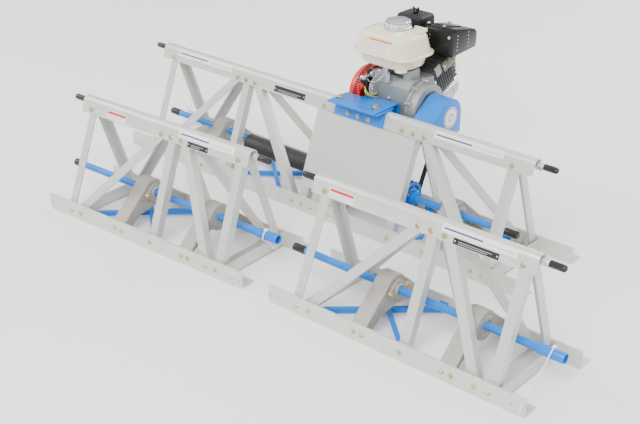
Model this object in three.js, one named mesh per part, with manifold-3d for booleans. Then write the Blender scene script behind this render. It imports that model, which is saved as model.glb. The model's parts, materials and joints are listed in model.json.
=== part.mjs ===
// A truss screed for striking off concrete: a powered section that carries a small petrol engine, and
// two extension sections that couple to its ends. Millimetres, +Z up, X along the powered section's
// blades, +Y from the leading blade towards the trailing one.
import * as THREE from "three";
import { mergeVertices } from "three/addons/utils/BufferGeometryUtils.js";
import Module from "manifold-3d";

const wasm = await Module();
wasm.setup();

// ---------------------------------------------------------------- driving dimensions

const FIT = 0.3; // clearance left between pieces that seat on each other
const RUN = 0.6; // radial clearance of a turning piece

// sections
const POWER_LENGTH = 1524;
const EXTENSION_LENGTH = 762;
const BLADE_SPREAD = 250; // front face of the leading blade to front face of the trailing one
const CHORD_SETBACK = 61; // chord end to blade end
const LEFT_EXTENSION_AT = { x: 180, y: -479, turn: 2.7 };
const RIGHT_EXTENSION_AT = { x: LEFT_EXTENSION_AT.x + EXTENSION_LENGTH + 95, y: -439, turn: 0.75 };

// blades: aluminium angle
const BLADE_HEIGHT = 50.1;
const BLADE_FOOT = 49.2;
const BLADE_WALL = 4.8;
const JOINT_HOLE = 7;
const JOINT_HOLE_HEIGHT = 21;
const JOINT_HOLE_INSETS = [8.4, 34.4];

// chord: half-round extrusion with two flared flanges
const CHORD_HEIGHT = 322; // centre of its round top
const CHORD_RADIUS = 17;
const CHORD_WALL = 3.2;
const FLANGE_DROP = 25; // from the round's centre to the flanges' lower edges

// braces: aluminium angle
const BRACE_WIDTH = 25.4;
const BRACE_WALL = 3.2;
const BRACE_SEAT = 30; // height where a brace's face meets its blade
const BRACE_TOP = CHORD_HEIGHT - 11;
const BRACE_BOTTOM = 8;
const BRACE_AXIS_LOW = 23; // heights at which the brace lists give the x of each brace
const BRACE_AXIS_HIGH = CHORD_HEIGHT - 14;

// the sloping sides, from the seats on the blades up to the chord
const FRONT_FACE = -BLADE_SPREAD / 2;
const REAR_FACE = BLADE_SPREAD / 2;
const FRONT_SEAT = FRONT_FACE + BLADE_WALL + FIT; // where front braces and castings bear on the blade
const REAR_SEAT = REAR_FACE - FIT;
const FLOOR = BLADE_WALL + FIT; // top of the blades' feet, for what lies across them
const BRACE_OFFSET = CHORD_RADIUS - CHORD_WALL - FIT; // brace face to the chord's centre line

// The angle from vertical of the side that starts at a seat on a blade and touches a circle of
// BRACE_OFFSET about the chord's centre.
function sideAngle(seat) {
  const rise = CHORD_HEIGHT - BRACE_SEAT;
  const reach = Math.hypot(seat, rise);
  return Math.atan(Math.abs(seat) / rise) - Math.asin(BRACE_OFFSET / reach);
}
const FRONT_ANGLE = sideAngle(FRONT_SEAT);
const REAR_ANGLE = sideAngle(REAR_SEAT);

// cross angles and cross braces
const CROSS_HEIGHT = 35;
const CROSS_WALL = 3.2;
const TIE_WIDTH = 13;
const TIE_WALL = 3;

// eccentric shaft, its bearings and its guard
const SHAFT_HEIGHT = 103;
const SHAFT_RADIUS = 10;
const CAP_WALL = 1.2;
const CAP_LENGTH = 40;
const SLEEVE_RADIUS = 13.5;
const SLEEVE_LENGTH = 67;
const SLEEVE_BORE_DEPTH = 32;
const SLEEVE_OVERHANG = 21;
const CASTING_WIDTH = 46;
const CASTING_BOSS = 39;
const CASTING_WALL = 8;
const CASTING_WEB = 9;
const CASTING_FOOT = 38;
const GUARD_RADIUS = 28;
const GUARD_WALL = 2.6;
const GUARD_FROM = 425;
const GUARD_TO = 835;

// tie rods through the chords
const ROD_RADIUS = 6.2;
const COUPLER_RADIUS = 8.6;
const COUPLER_LENGTH = 19;
const ROD_CAP_LENGTH = 41;
const ROD_STUB = 9;

// where the engine stands, by its crankshaft
const CRANK_HEIGHT = CHORD_HEIGHT + 8;
const SUMP_DEPTH = 106; // crankshaft to mounting face
const BASE = CRANK_HEIGHT - SUMP_DEPTH;
const CRANK_Y = 70 + 0.18 * BLADE_SPREAD; // clear of the rear braces
const ENGINE_LEFT = 783; // outer face of the recoil cover
const ENGINE_LENGTH = 250; // recoil cover to drive-side face

// drive
const BELT_X = ENGINE_LEFT + ENGINE_LENGTH + 26;
const BELT_WIDTH = 11;
const BELT_THICKNESS = 8;
const DRIVEN_PULLEY_RADIUS = 46;
const CLUTCH_PULLEY_RADIUS = 39;
const PULLEY_WIDTH = 22;
const GROOVE_DEPTH = 9;
const COVER_RADIUS = 50;
const COVER_FROM = BELT_X - 20.5;
const COVER_TO = BELT_X + 49;
const COVER_WALL = 2.5;
const COVER_LOW = CHORD_HEIGHT - 56;
const COVER_FRONT = CRANK_Y - 84;

// front panel, saddle and engine mount
const PANEL_FROM = 736;
const PANEL_TO = 1092;
const PANEL_LOW = 75;
const PANEL_HIGH = CHORD_HEIGHT - FLANGE_DROP - 2;
const PANEL_WALL = 2;
const SADDLE_FROM = 800;
const SADDLE_TO = 978;
const SADDLE_WALL = 4;
const SADDLE_FRONT = -56;
const MOUNT_FROM = 803;
const MOUNT_TO = 971;
const MOUNT_FRONT = -64;
const MOUNT_WALL = 4.5;
const MOUNT_FLANGE_Y = CRANK_Y - 57;
const MOUNT_BASE_BACK = CRANK_Y + 97;
const MOUNT_BASE_FROM = 862;
const MOUNT_BASE_TO = 986;

// engine, around its crankshaft
const CYLINDER_TILT = 25;
const TANK_SIZE = [215, 162, 66]; // length, depth, height above the seam
const TANK_LOWER = 38;
const TANK_SEAM_ABOVE_BASE = 254;
const TANK_CENTRE = [ENGINE_LEFT + 117, CRANK_Y - 4];
const CAP_RADIUS = 40;
const FILTER_SIZE = [95, 80, 80];
const FILTER_CENTRE = [ENGINE_LEFT + 93, CRANK_Y + 130];
const FILTER_TOP_ABOVE_BASE = 327;
const MUFFLER_SIZE = [99, 123, 82];
const MUFFLER_CORNER = [ENGINE_LEFT + ENGINE_LENGTH + 11, CRANK_Y + 82]; // its front right corner
const MUFFLER_BOTTOM_ABOVE_BASE = 237;
const RECOIL_RADIUS = 88;

// stations along each section: x of each brace at its foot and at its top, at the axis heights above
const EXTENSION_BRACES = {
  leftUpright: { foot: 91, top: 106, leg: -1 },
  leftDiagonal: { foot: 120, top: 386, leg: -1 },
  middle: { foot: 423, top: 426, leg: 1 },
  rightDiagonal: { foot: EXTENSION_LENGTH - 134, top: EXTENSION_LENGTH - 293, leg: 1 },
  rightUpright: { foot: EXTENSION_LENGTH - 91, top: EXTENSION_LENGTH - 91, leg: 1 },
};
const EXTENSION_CROSS_ANGLES = [115, EXTENSION_LENGTH - 70];
const EXTENSION_TIE = { front: [127, 409], run: 247 };
const EXTENSION_CASTINGS = [291, EXTENSION_LENGTH - 211];
const POWER_END_BRACES = {
  leftUpright: { foot: 108, top: 115, leg: -1 },
  leftDiagonal: { foot: 134, top: 402, leg: -1 },
  rightDiagonal: { foot: POWER_LENGTH - 166, top: POWER_LENGTH - 404, leg: 1 },
  rightUpright: { foot: POWER_LENGTH - 126, top: POWER_LENGTH - 124, leg: 1 },
};
const POWER_INNER_BRACES = [
  { foot: 439, top: 440, leg: 1 },
  { foot: 716.5, top: 478, leg: 1 },
  { foot: 755, top: 758.5, leg: 1 },
  { foot: 793, top: 1042, leg: -1 },
  { foot: 1078, top: 1080, leg: 1 },
];
const POWER_CROSS_ANGLES = [130, POWER_LENGTH - 105];
const POWER_TIES = [
  { front: [412, 650], run: 260 },
  { front: [POWER_LENGTH - 464, POWER_LENGTH - 226], run: 255 },
];
const POWER_CASTINGS = [316, 873, POWER_LENGTH - 310];
const POWER_SHAFT = [64, POWER_LENGTH - 99];

// ---------------------------------------------------------------- values worked out from them

const GUARD_HEIGHT = SHAFT_HEIGHT + SHAFT_RADIUS + FIT - (GUARD_RADIUS - GUARD_WALL);
const ENGINE_RIGHT = ENGINE_LEFT + ENGINE_LENGTH;
const TILT = THREE.MathUtils.degToRad(CYLINDER_TILT);

// ---------------------------------------------------------------- materials

function finish(name, color, roughness, metalness) {
  return new THREE.MeshStandardMaterial({ name, color, roughness, metalness });
}
const MILL_ALUMINIUM = finish("mill aluminium", 0xbcbfb6, 0.45, 0.85);
const CAST_ALUMINIUM = finish("cast aluminium", 0x9d978c, 0.7, 0.7);
const BLUE_PAINT = finish("blue paint", 0x0a6fc4, 0.3, 0.1);
const BLACK_PLASTIC = finish("black plastic", 0x151516, 0.45, 0);
const BLACK_PAINT = finish("black paint", 0x101010, 0.3, 0.2);
const ZINC = finish("zinc plate", 0xb9bfc0, 0.35, 0.9);
const CREAM_PAINT = finish("cream paint", 0xf0ead2, 0.2, 0);
const CHROME = finish("chrome", 0xd5d8da, 0.08, 1);
const RED_PAINT = finish("red paint", 0xc41418, 0.3, 0.1);
const RUBBER = finish("rubber", 0x1b1b1b, 0.8, 0);
const ENGINE_ALUMINIUM = finish("engine aluminium", 0x9aa0a2, 0.5, 0.8);

// ---------------------------------------------------------------- shaping tools

// A three.js geometry as a solid that can be joined and cut.
function solid(geometry) {
  const bare = geometry.index ? geometry.toNonIndexed() : geometry.clone();
  bare.deleteAttribute("normal");
  bare.deleteAttribute("uv");
  const merged = mergeVertices(bare, 1e-4);
  return new wasm.Manifold(
    new wasm.Mesh({
      numProp: 3,
      vertProperties: new Float32Array(merged.attributes.position.array),
      triVerts: new Uint32Array(merged.index.array),
    }),
  );
}

function join(...solids) {
  return solids.reduce((whole, next) => whole.add(next));
}

function cut(whole, ...tools) {
  return tools.reduce((rest, tool) => rest.subtract(tool), whole);
}

function mesh(name, shape, material) {
  const raw = shape.getMesh();
  const geometry = new THREE.BufferGeometry();
  geometry.setAttribute("position", new THREE.BufferAttribute(raw.vertProperties, 3));
  geometry.setIndex(new THREE.BufferAttribute(raw.triVerts, 1));
  const made = new THREE.Mesh(geometry.toNonIndexed(), material);
  made.geometry.computeVertexNormals();
  made.name = name;
  return made;
}

function box(x0, x1, y0, y1, z0, z1) {
  const shape = new THREE.BoxGeometry(x1 - x0, y1 - y0, z1 - z0);
  shape.translate((x0 + x1) / 2, (y0 + y1) / 2, (z0 + z1) / 2);
  return solid(shape);
}

function outline(points) {
  return new THREE.Shape(points.map(([a, b]) => new THREE.Vector2(a, b)));
}

const CYCLE_TO_X = new THREE.Matrix4().set(0, 0, 1, 0, 1, 0, 0, 0, 0, 1, 0, 0, 0, 0, 0, 1);

// A shape drawn in (y, z), extruded along X from x0 to x1.
function alongX(shape, x0, x1, curveSegments = 12) {
  const made = new THREE.ExtrudeGeometry(shape, {
    depth: x1 - x0,
    bevelEnabled: false,
    curveSegments,
  });
  made.applyMatrix4(CYCLE_TO_X);
  made.translate(x0, 0, 0);
  return solid(made);
}

// A shape drawn in (x, y), extruded upwards from z0 to z1.
function alongZ(shape, z0, z1, curveSegments = 6) {
  const made = new THREE.ExtrudeGeometry(shape, {
    depth: z1 - z0,
    bevelEnabled: false,
    curveSegments,
  });
  made.translate(0, 0, z0);
  return solid(made);
}

function roundBarX(radius, x0, x1, y, z, sides = 20) {
  const made = new THREE.CylinderGeometry(radius, radius, x1 - x0, sides);
  made.rotateZ(-Math.PI / 2);
  made.translate((x0 + x1) / 2, y, z);
  return solid(made);
}

function roundBarY(radius, y0, y1, x, z, sides = 12) {
  const made = new THREE.CylinderGeometry(radius, radius, y1 - y0, sides);
  made.translate(x, (y0 + y1) / 2, z);
  return solid(made);
}

function roundBarZ(radius, z0, z1, x, y, sides = 20) {
  const made = new THREE.CylinderGeometry(radius, radius, z1 - z0, sides);
  made.rotateX(Math.PI / 2);
  made.translate(x, y, (z0 + z1) / 2);
  return solid(made);
}

// A turned piece: (radius, x) points from its axis back to its axis, spun about a line along X.
function turnedX(points, y, z, sides = 28) {
  const made = new THREE.LatheGeometry(
    points.map(([radius, x]) => new THREE.Vector2(radius, x)),
    sides,
  );
  made.rotateZ(-Math.PI / 2);
  made.translate(0, y, z);
  return solid(made);
}

function turnedZ(points, x, y, sides = 28) {
  const made = new THREE.LatheGeometry(
    points.map(([radius, height]) => new THREE.Vector2(radius, height)),
    sides,
  );
  made.rotateX(Math.PI / 2);
  made.translate(x, y, 0);
  return solid(made);
}

function roundedRectangle(x0, x1, y0, y1, radius) {
  const shape = new THREE.Shape();
  shape.moveTo(x0 + radius, y0);
  shape.lineTo(x1 - radius, y0);
  shape.absarc(x1 - radius, y0 + radius, radius, -Math.PI / 2, 0);
  shape.lineTo(x1, y1 - radius);
  shape.absarc(x1 - radius, y1 - radius, radius, 0, Math.PI / 2);
  shape.lineTo(x0 + radius, y1);
  shape.absarc(x0 + radius, y1 - radius, radius, Math.PI / 2, Math.PI);
  shape.lineTo(x0, y0 + radius);
  shape.absarc(x0 + radius, y0 + radius, radius, Math.PI, Math.PI * 1.5);
  return shape;
}

// The hull of two rounded rectangles at two heights: a tapered body with soft corners.
function taperedBlock(x0, x1, y0, y1, radius, z0, z1, inset) {
  const made = new THREE.ExtrudeGeometry(roundedRectangle(x0, x1, y0, y1, radius), {
    depth: 1,
    bevelEnabled: false,
    curveSegments: 4,
  });
  const centre = new THREE.Vector2((x0 + x1) / 2, (y0 + y1) / 2);
  const position = made.attributes.position;
  for (let i = 0; i < position.count; i += 1) {
    const upper = position.getZ(i) > 0.5;
    const sx = upper ? 1 - (2 * inset) / (x1 - x0) : 1;
    const sy = upper ? 1 - (2 * inset) / (y1 - y0) : 1;
    position.setXYZ(
      i,
      centre.x + (position.getX(i) - centre.x) * sx,
      centre.y + (position.getY(i) - centre.y) * sy,
      upper ? z1 : z0,
    );
  }
  return solid(made);
}

// ---------------------------------------------------------------- pieces of a section

function blade(name, length, face) {
  const profile = outline([
    [face, 0],
    [face + BLADE_FOOT, 0],
    [face + BLADE_FOOT, BLADE_WALL],
    [face + BLADE_WALL, BLADE_WALL],
    [face + BLADE_WALL, BLADE_HEIGHT],
    [face, BLADE_HEIGHT],
  ]);
  const insets = [...JOINT_HOLE_INSETS, ...JOINT_HOLE_INSETS.map((inset) => length - inset)];
  const holes = insets.map((x) =>
    roundBarY(JOINT_HOLE / 2, face - 1, face + BLADE_WALL + 1, x, JOINT_HOLE_HEIGHT, 8),
  );
  return mesh(name, cut(alongX(profile, 0, length), ...holes), MILL_ALUMINIUM);
}

// The chord's outline at a given inset from its outer surface, from the front flange's lower edge
// over the top to the rear flange's lower edge.
function chordLine(inset, steps = 14) {
  const radius = CHORD_RADIUS - inset;
  const low = CHORD_HEIGHT - FLANGE_DROP;
  const edge = (angle) => radius / Math.cos(angle) + FLANGE_DROP * Math.tan(angle);
  const points = [[-edge(FRONT_ANGLE), low]];
  const from = Math.PI - FRONT_ANGLE;
  const to = REAR_ANGLE;
  for (let i = 0; i <= steps; i += 1) {
    const a = from + ((to - from) * i) / steps;
    points.push([radius * Math.cos(a), CHORD_HEIGHT + radius * Math.sin(a)]);
  }
  points.push([edge(REAR_ANGLE), low]);
  return points;
}

function chord(name, length) {
  const profile = outline([...chordLine(CHORD_WALL), ...chordLine(0).reverse()]);
  return mesh(name, alongX(profile, CHORD_SETBACK, length - CHORD_SETBACK), MILL_ALUMINIUM);
}

// One brace of a side: an angle whose face lies in the side's slope and whose other leg points in,
// trimmed to stand on the blade, with a foot bent to lie flat against it.
function brace(station, seat, angle) {
  const outward = seat < 0 ? -1 : 1;
  const up = new THREE.Vector3(0, -outward * Math.sin(angle), Math.cos(angle));
  const rise = (BRACE_AXIS_HIGH - BRACE_AXIS_LOW) / Math.cos(angle);
  const along = new THREE.Vector3(station.top - station.foot, 0, 0);
  along.addScaledVector(up, rise).normalize();
  const inward = new THREE.Vector3(0, -outward * Math.cos(angle), -Math.sin(angle));
  const across = new THREE.Vector3().crossVectors(inward, along);
  const half = BRACE_WIDTH / 2;
  const side = station.leg * Math.sign(across.x);
  const profile = outline([
    [-side * half, 0],
    [side * half, 0],
    [side * half, BRACE_WIDTH],
    [side * (half - BRACE_WALL), BRACE_WIDTH],
    [side * (half - BRACE_WALL), BRACE_WALL],
    [-side * half, BRACE_WALL],
  ]);
  const reach = CHORD_HEIGHT + 138;
  const bar = new THREE.ExtrudeGeometry(profile, { depth: reach, bevelEnabled: false });
  const seatLow = seat + outward * (BRACE_SEAT - BRACE_AXIS_LOW) * Math.tan(angle);
  const start = new THREE.Vector3(station.foot, seatLow, BRACE_AXIS_LOW);
  start.addScaledVector(along, -60);
  const frame = new THREE.Matrix4().makeBasis(across, inward, along).setPosition(start);
  bar.applyMatrix4(frame);
  let made = solid(bar);
  const slope = (station.top - station.foot) / (BRACE_AXIS_HIGH - BRACE_AXIS_LOW);
  const padHalf = half * Math.hypot(1, slope * Math.cos(angle));
  const centre = station.foot + slope * (BRACE_SEAT - BRACE_AXIS_LOW) * 0.5;
  const [x0, x1] = slope < 0 ? [-500, centre + padHalf] : [centre - padHalf, 2500];
  const [y0, y1] = outward < 0 ? [seat, 60] : [-60, seat];
  made = made.intersect(box(x0, x1, y0, y1, BRACE_BOTTOM, BRACE_TOP));
  const padBack = seat - outward * BRACE_WALL;
  const pad = box(
    centre - padHalf,
    centre + padHalf,
    Math.min(seat, padBack),
    Math.max(seat, padBack),
    BRACE_BOTTOM,
    BRACE_SEAT + 8,
  );
  return made.add(pad);
}

// The front and rear brace of one station, whose inward legs meet under the chord.
function bracePair(station) {
  return join(brace(station, FRONT_SEAT, FRONT_ANGLE), brace(station, REAR_SEAT, REAR_ANGLE));
}

// A cross angle that ties the two blades together, whose foot runs under the braces' feet.
function crossAngle(x, footEnd) {
  return join(
    box(x - CROSS_WALL, x, FRONT_SEAT, REAR_SEAT, FLOOR, FLOOR + CROSS_HEIGHT),
    box(footEnd, x, FRONT_SEAT, REAR_SEAT, FLOOR, FLOOR + CROSS_WALL),
  );
}

function endFrame(name, upright, diagonal, crossX) {
  const footEnd = Math.min(upright.foot, diagonal.foot);
  return mesh(
    name,
    join(bracePair(upright), bracePair(diagonal), crossAngle(crossX, footEnd)),
    MILL_ALUMINIUM,
  );
}

// Two light angles that cross between the blades. Each starts on the leading blade's foot, runs
// back by a given distance along X and ends in a tab turned up against the trailing blade.
function crossBrace(name, { front, run }) {
  const start = FRONT_FACE + 25;
  const half = TIE_WIDTH / 2;
  const profile = outline([
    [-half, 0],
    [TIE_WALL - half, 0],
    [TIE_WALL - half, TIE_WIDTH - TIE_WALL],
    [half, TIE_WIDTH - TIE_WALL],
    [half, TIE_WIDTH],
    [-half, TIE_WIDTH],
  ]);
  const bar = (fromX, toX) => {
    const length = Math.hypot(toX - fromX, REAR_SEAT - start);
    const made = new THREE.ExtrudeGeometry(profile, { depth: length + 12, bevelEnabled: false });
    made.applyMatrix4(CYCLE_TO_X);
    made.rotateZ(Math.atan2(REAR_SEAT - start, toX - fromX));
    made.translate(fromX, start, FLOOR);
    const tab = box(toX - 12, toX + 12, REAR_SEAT - TIE_WALL, REAR_SEAT, FLOOR, FLOOR + 26);
    return solid(made).intersect(box(-500, 2500, -200, REAR_SEAT, 0, 100)).add(tab);
  };
  const pair = join(bar(front[0], front[0] + run), bar(front[1], front[1] - run));
  return mesh(name, pair, BLUE_PAINT);
}

// A cast yoke: a boss round the shaft, two broad arms down to the blades and a web under them.
function casting(name, x, webSide) {
  const boss = CASTING_BOSS;
  const high = SHAFT_HEIGHT;
  const lean = Math.PI * 0.68;
  const front = [FRONT_SEAT, REAR_SEAT];
  const crown = new THREE.Shape();
  crown.moveTo(front[0], BRACE_BOTTOM);
  crown.lineTo(front[0], CASTING_FOOT + 8);
  crown.lineTo(boss * Math.cos(lean + 0.5), high + boss * Math.sin(lean + 0.5));
  crown.absarc(0, high, boss, lean + 0.4, Math.PI - lean - 0.4, true);
  crown.lineTo(front[1], CASTING_FOOT + 8);
  crown.lineTo(front[1], BRACE_BOTTOM);
  crown.lineTo(front[1] - CASTING_WALL, BRACE_BOTTOM);
  crown.lineTo(front[1] - CASTING_WALL, CASTING_FOOT);
  crown.lineTo(boss * 0.7, high - boss * 0.55);
  crown.lineTo(-boss * 0.7, high - boss * 0.55);
  crown.lineTo(front[0] + CASTING_WALL, CASTING_FOOT);
  crown.lineTo(front[0] + CASTING_WALL, BRACE_BOTTOM);
  const web = outline([
    [front[0] + 2, CASTING_FOOT],
    [-boss * 0.9, high - 6],
    [boss * 0.9, high - 6],
    [front[1] - 2, CASTING_FOOT],
    [front[1] - 4, BRACE_BOTTOM],
    [front[1] - 14, 16],
    [56, 47],
    [0, 59],
    [-56, 48],
    [front[0] + 14, 16],
    [front[0] + 4, BRACE_BOTTOM],
  ]);
  const half = CASTING_WIDTH / 2;
  const webFrom = webSide > 0 ? x + half - CASTING_WEB : x - half;
  const made = join(
    alongX(crown, x - half, x + half, 8),
    alongX(web, webFrom, webFrom + CASTING_WEB),
    roundBarX(boss, x - half, x + half, 0, high, 24),
  );
  const bore = roundBarX(SHAFT_RADIUS + RUN, x - half - 1, x + half + 1, 0, high);
  return mesh(name, made.subtract(bore), CAST_ALUMINIUM);
}

// The shaft of an extension: a plastic cap on its left end, a socket sleeve on its right one.
function extensionShaft(name, length) {
  const end = length + SLEEVE_OVERHANG;
  const shaft = join(
    roundBarX(SHAFT_RADIUS + CAP_WALL, -20, -20 + CAP_LENGTH, 0, SHAFT_HEIGHT),
    roundBarX(SHAFT_RADIUS, -19, end - SLEEVE_BORE_DEPTH, 0, SHAFT_HEIGHT),
    roundBarX(SLEEVE_RADIUS, end - SLEEVE_LENGTH, end, 0, SHAFT_HEIGHT),
  );
  const socket = roundBarX(SHAFT_RADIUS + RUN, end - SLEEVE_BORE_DEPTH, end + 1, 0, SHAFT_HEIGHT);
  return mesh(name, shaft.subtract(socket), BLUE_PAINT);
}

// The rod through a chord: a capped stub at the left, a round coupler and a cap at the right, and
// a collar inside each end of the chord that centres it.
function tieRod(name, length) {
  const left = CHORD_SETBACK;
  const right = length - CHORD_SETBACK;
  const collar = CHORD_RADIUS - CHORD_WALL - FIT;
  const bar = (radius, x0, x1) => roundBarX(radius, x0, x1, 0, CHORD_HEIGHT, 14);
  const rod = join(
    bar(ROD_RADIUS, left - ROD_STUB, right + COUPLER_LENGTH),
    bar(COUPLER_RADIUS, left - ROD_STUB - ROD_CAP_LENGTH, left - ROD_STUB),
    bar(COUPLER_RADIUS, right - 20, right + COUPLER_LENGTH + ROD_CAP_LENGTH),
    bar(collar, left + 4, left + 16),
    bar(collar, right - 16, right - 4),
  );
  return mesh(name, rod, ZINC);
}

// ---------------------------------------------------------------- sections

function extension(prefix, at) {
  const section = new THREE.Group();
  const braces = EXTENSION_BRACES;
  const length = EXTENSION_LENGTH;
  section.add(
    chord(prefix + "_chord", length),
    blade(prefix + "_front_blade", length, FRONT_FACE),
    blade(prefix + "_rear_blade", length, REAR_FACE),
    endFrame(
      prefix + "_left_end_frame",
      braces.leftUpright,
      braces.leftDiagonal,
      EXTENSION_CROSS_ANGLES[0],
    ),
    mesh(prefix + "_middle_brace_pair", bracePair(braces.middle), MILL_ALUMINIUM),
    endFrame(
      prefix + "_right_end_frame",
      braces.rightUpright,
      braces.rightDiagonal,
      EXTENSION_CROSS_ANGLES[1],
    ),
    crossBrace(prefix + "_cross_brace", EXTENSION_TIE),
    casting(prefix + "_bearing_casting_a", EXTENSION_CASTINGS[0], 1),
    casting(prefix + "_bearing_casting_b", EXTENSION_CASTINGS[1], -1),
    extensionShaft(prefix + "_eccentric_shaft", length),
    tieRod(prefix + "_tie_rod", length),
  );
  section.position.set(at.x, at.y, 0);
  section.rotation.z = THREE.MathUtils.degToRad(at.turn);
  return section;
}

function powerShaft() {
  const [x0, x1] = POWER_SHAFT;
  const shaft = join(
    roundBarX(SHAFT_RADIUS + CAP_WALL, x0, x0 + CAP_LENGTH, 0, SHAFT_HEIGHT),
    roundBarX(SHAFT_RADIUS, x0 + 1, x1 - 1, 0, SHAFT_HEIGHT),
    roundBarX(SHAFT_RADIUS + CAP_WALL, x1 - CAP_LENGTH, x1, 0, SHAFT_HEIGHT),
  );
  return mesh("power_eccentric_shaft", shaft, BLUE_PAINT);
}

// A tube that hangs on the shaft it guards, so its bore touches the shaft only at the top.
function guardTube() {
  const tube = roundBarX(GUARD_RADIUS, GUARD_FROM, GUARD_TO, 0, GUARD_HEIGHT, 28);
  const inner = GUARD_RADIUS - GUARD_WALL;
  const bore = roundBarX(inner, GUARD_FROM - 1, GUARD_TO + 1, 0, GUARD_HEIGHT, 28);
  return mesh("shaft_guard_tube", tube.subtract(bore), BLACK_PLASTIC);
}

// A sheet panel screwed to the outer faces of the front braces.
function frontPanel() {
  const slope = (z) => FRONT_SEAT - FIT + (z - BRACE_SEAT) * Math.tan(FRONT_ANGLE);
  const thick = PANEL_WALL / Math.cos(FRONT_ANGLE);
  const profile = outline([
    [slope(PANEL_LOW) - thick, PANEL_LOW],
    [slope(PANEL_LOW), PANEL_LOW],
    [slope(PANEL_HIGH), PANEL_HIGH],
    [slope(PANEL_HIGH) - thick, PANEL_HIGH],
  ]);
  return mesh("front_panel", alongX(profile, PANEL_FROM, PANEL_TO), MILL_ALUMINIUM);
}

const SADDLE_TOP = CHORD_HEIGHT + CHORD_RADIUS + FIT + SADDLE_WALL;

// A folded bracket that sits over the chord: a flat top and a skirt down each flange.
function saddle() {
  const inner = chordLine(-FIT);
  const outer = chordLine(-FIT - SADDLE_WALL);
  const wrap = alongX(outline([...inner, ...outer.reverse()]), SADDLE_FROM, SADDLE_TO);
  const back = CHORD_RADIUS + 6;
  const top = box(SADDLE_FROM, SADDLE_TO, SADDLE_FRONT, back, SADDLE_TOP - SADDLE_WALL, SADDLE_TOP);
  return mesh("chord_saddle", wrap.add(top), BLUE_PAINT);
}

// The plate that carries the engine: it lies on the saddle, drops behind the chord and turns back
// under the engine.
function engineMount() {
  const low = SADDLE_TOP + FIT;
  const high = low + MOUNT_WALL;
  const flange = MOUNT_FLANGE_Y - MOUNT_WALL;
  const baseTop = BASE - FIT;
  const top = join(
    box(MOUNT_FROM, MOUNT_TO, MOUNT_FRONT, CHORD_RADIUS + 6, low, high),
    box(MOUNT_BASE_FROM, MOUNT_TO, 0, MOUNT_FLANGE_Y - 12, low, high),
  );
  const drop = new THREE.Shape();
  drop.moveTo(MOUNT_FLANGE_Y - 13, low);
  drop.lineTo(MOUNT_FLANGE_Y - 13, high);
  drop.lineTo(MOUNT_FLANGE_Y - 12, high);
  drop.absarc(MOUNT_FLANGE_Y - 12, high - 12, 12, Math.PI / 2, 0, true);
  drop.lineTo(MOUNT_FLANGE_Y, baseTop);
  drop.lineTo(MOUNT_BASE_BACK, baseTop);
  drop.lineTo(MOUNT_BASE_BACK, baseTop - MOUNT_WALL);
  drop.lineTo(flange, baseTop - MOUNT_WALL);
  drop.lineTo(flange, high - 12);
  drop.absarc(MOUNT_FLANGE_Y - 12, high - 12, 12 - MOUNT_WALL, 0, Math.PI / 2, false);
  const fold = alongX(drop, MOUNT_BASE_FROM, MOUNT_TO, 6);
  const base = box(
    MOUNT_BASE_FROM,
    MOUNT_BASE_TO,
    MOUNT_FLANGE_Y + 4,
    MOUNT_BASE_BACK,
    baseTop - MOUNT_WALL,
    baseTop,
  );
  const slot = (x) =>
    alongZ(roundedRectangle(x - 5, x + 5, -34, 2, 4.9), low - 1, high + 1, 4);
  const plate = cut(join(top, fold, base), slot(MOUNT_FROM + 12), slot(MOUNT_TO - 28));
  return mesh("engine_mount", plate, BLUE_PAINT);
}

// ---------------------------------------------------------------- drive

function groovedPulley(name, radius, y, z, hubRadius, hub, bore, material) {
  const half = PULLEY_WIDTH / 2;
  const mouth = BELT_WIDTH / 2 + 2;
  const root = BELT_WIDTH / 2 + FIT;
  const floor = radius - GROOVE_DEPTH;
  const points = [
    [bore, BELT_X - half],
    [radius, BELT_X - half],
    [radius, BELT_X - mouth],
    [floor, BELT_X - root],
    [floor, BELT_X + root],
    [radius, BELT_X + mouth],
    [radius, BELT_X + half],
    [hubRadius, BELT_X + half],
    [hubRadius, BELT_X + half + hub],
    [bore, BELT_X + half + hub],
    [bore, BELT_X - half],
  ];
  return mesh(name, turnedX(points, y, z, 28), material);
}

// The loop of a belt round two circles, at a given distance outside each.
function beltLoop(extra) {
  const r1 = DRIVEN_PULLEY_RADIUS - GROOVE_DEPTH + extra;
  const r2 = CLUTCH_PULLEY_RADIUS - GROOVE_DEPTH + extra;
  const dy = CRANK_Y;
  const dz = CRANK_HEIGHT - SHAFT_HEIGHT;
  const line = Math.atan2(dz, dy);
  const wrap = Math.acos((r1 - r2) / Math.hypot(dy, dz));
  const shape = new THREE.Shape();
  shape.absarc(0, SHAFT_HEIGHT, r1, line + wrap, line - wrap + 2 * Math.PI, false);
  shape.absarc(CRANK_Y, CRANK_HEIGHT, r2, line - wrap, line + wrap, false);
  return shape;
}

function belt() {
  const loop = beltLoop(BELT_THICKNESS);
  const hollow = beltLoop(RUN);
  const half = BELT_WIDTH / 2;
  const outer = alongX(loop, BELT_X - half, BELT_X + half, 12);
  const inner = alongX(hollow, BELT_X - half - 1, BELT_X + half + 1, 12);
  return mesh("drive_belt", outer.subtract(inner), RUBBER);
}

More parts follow.
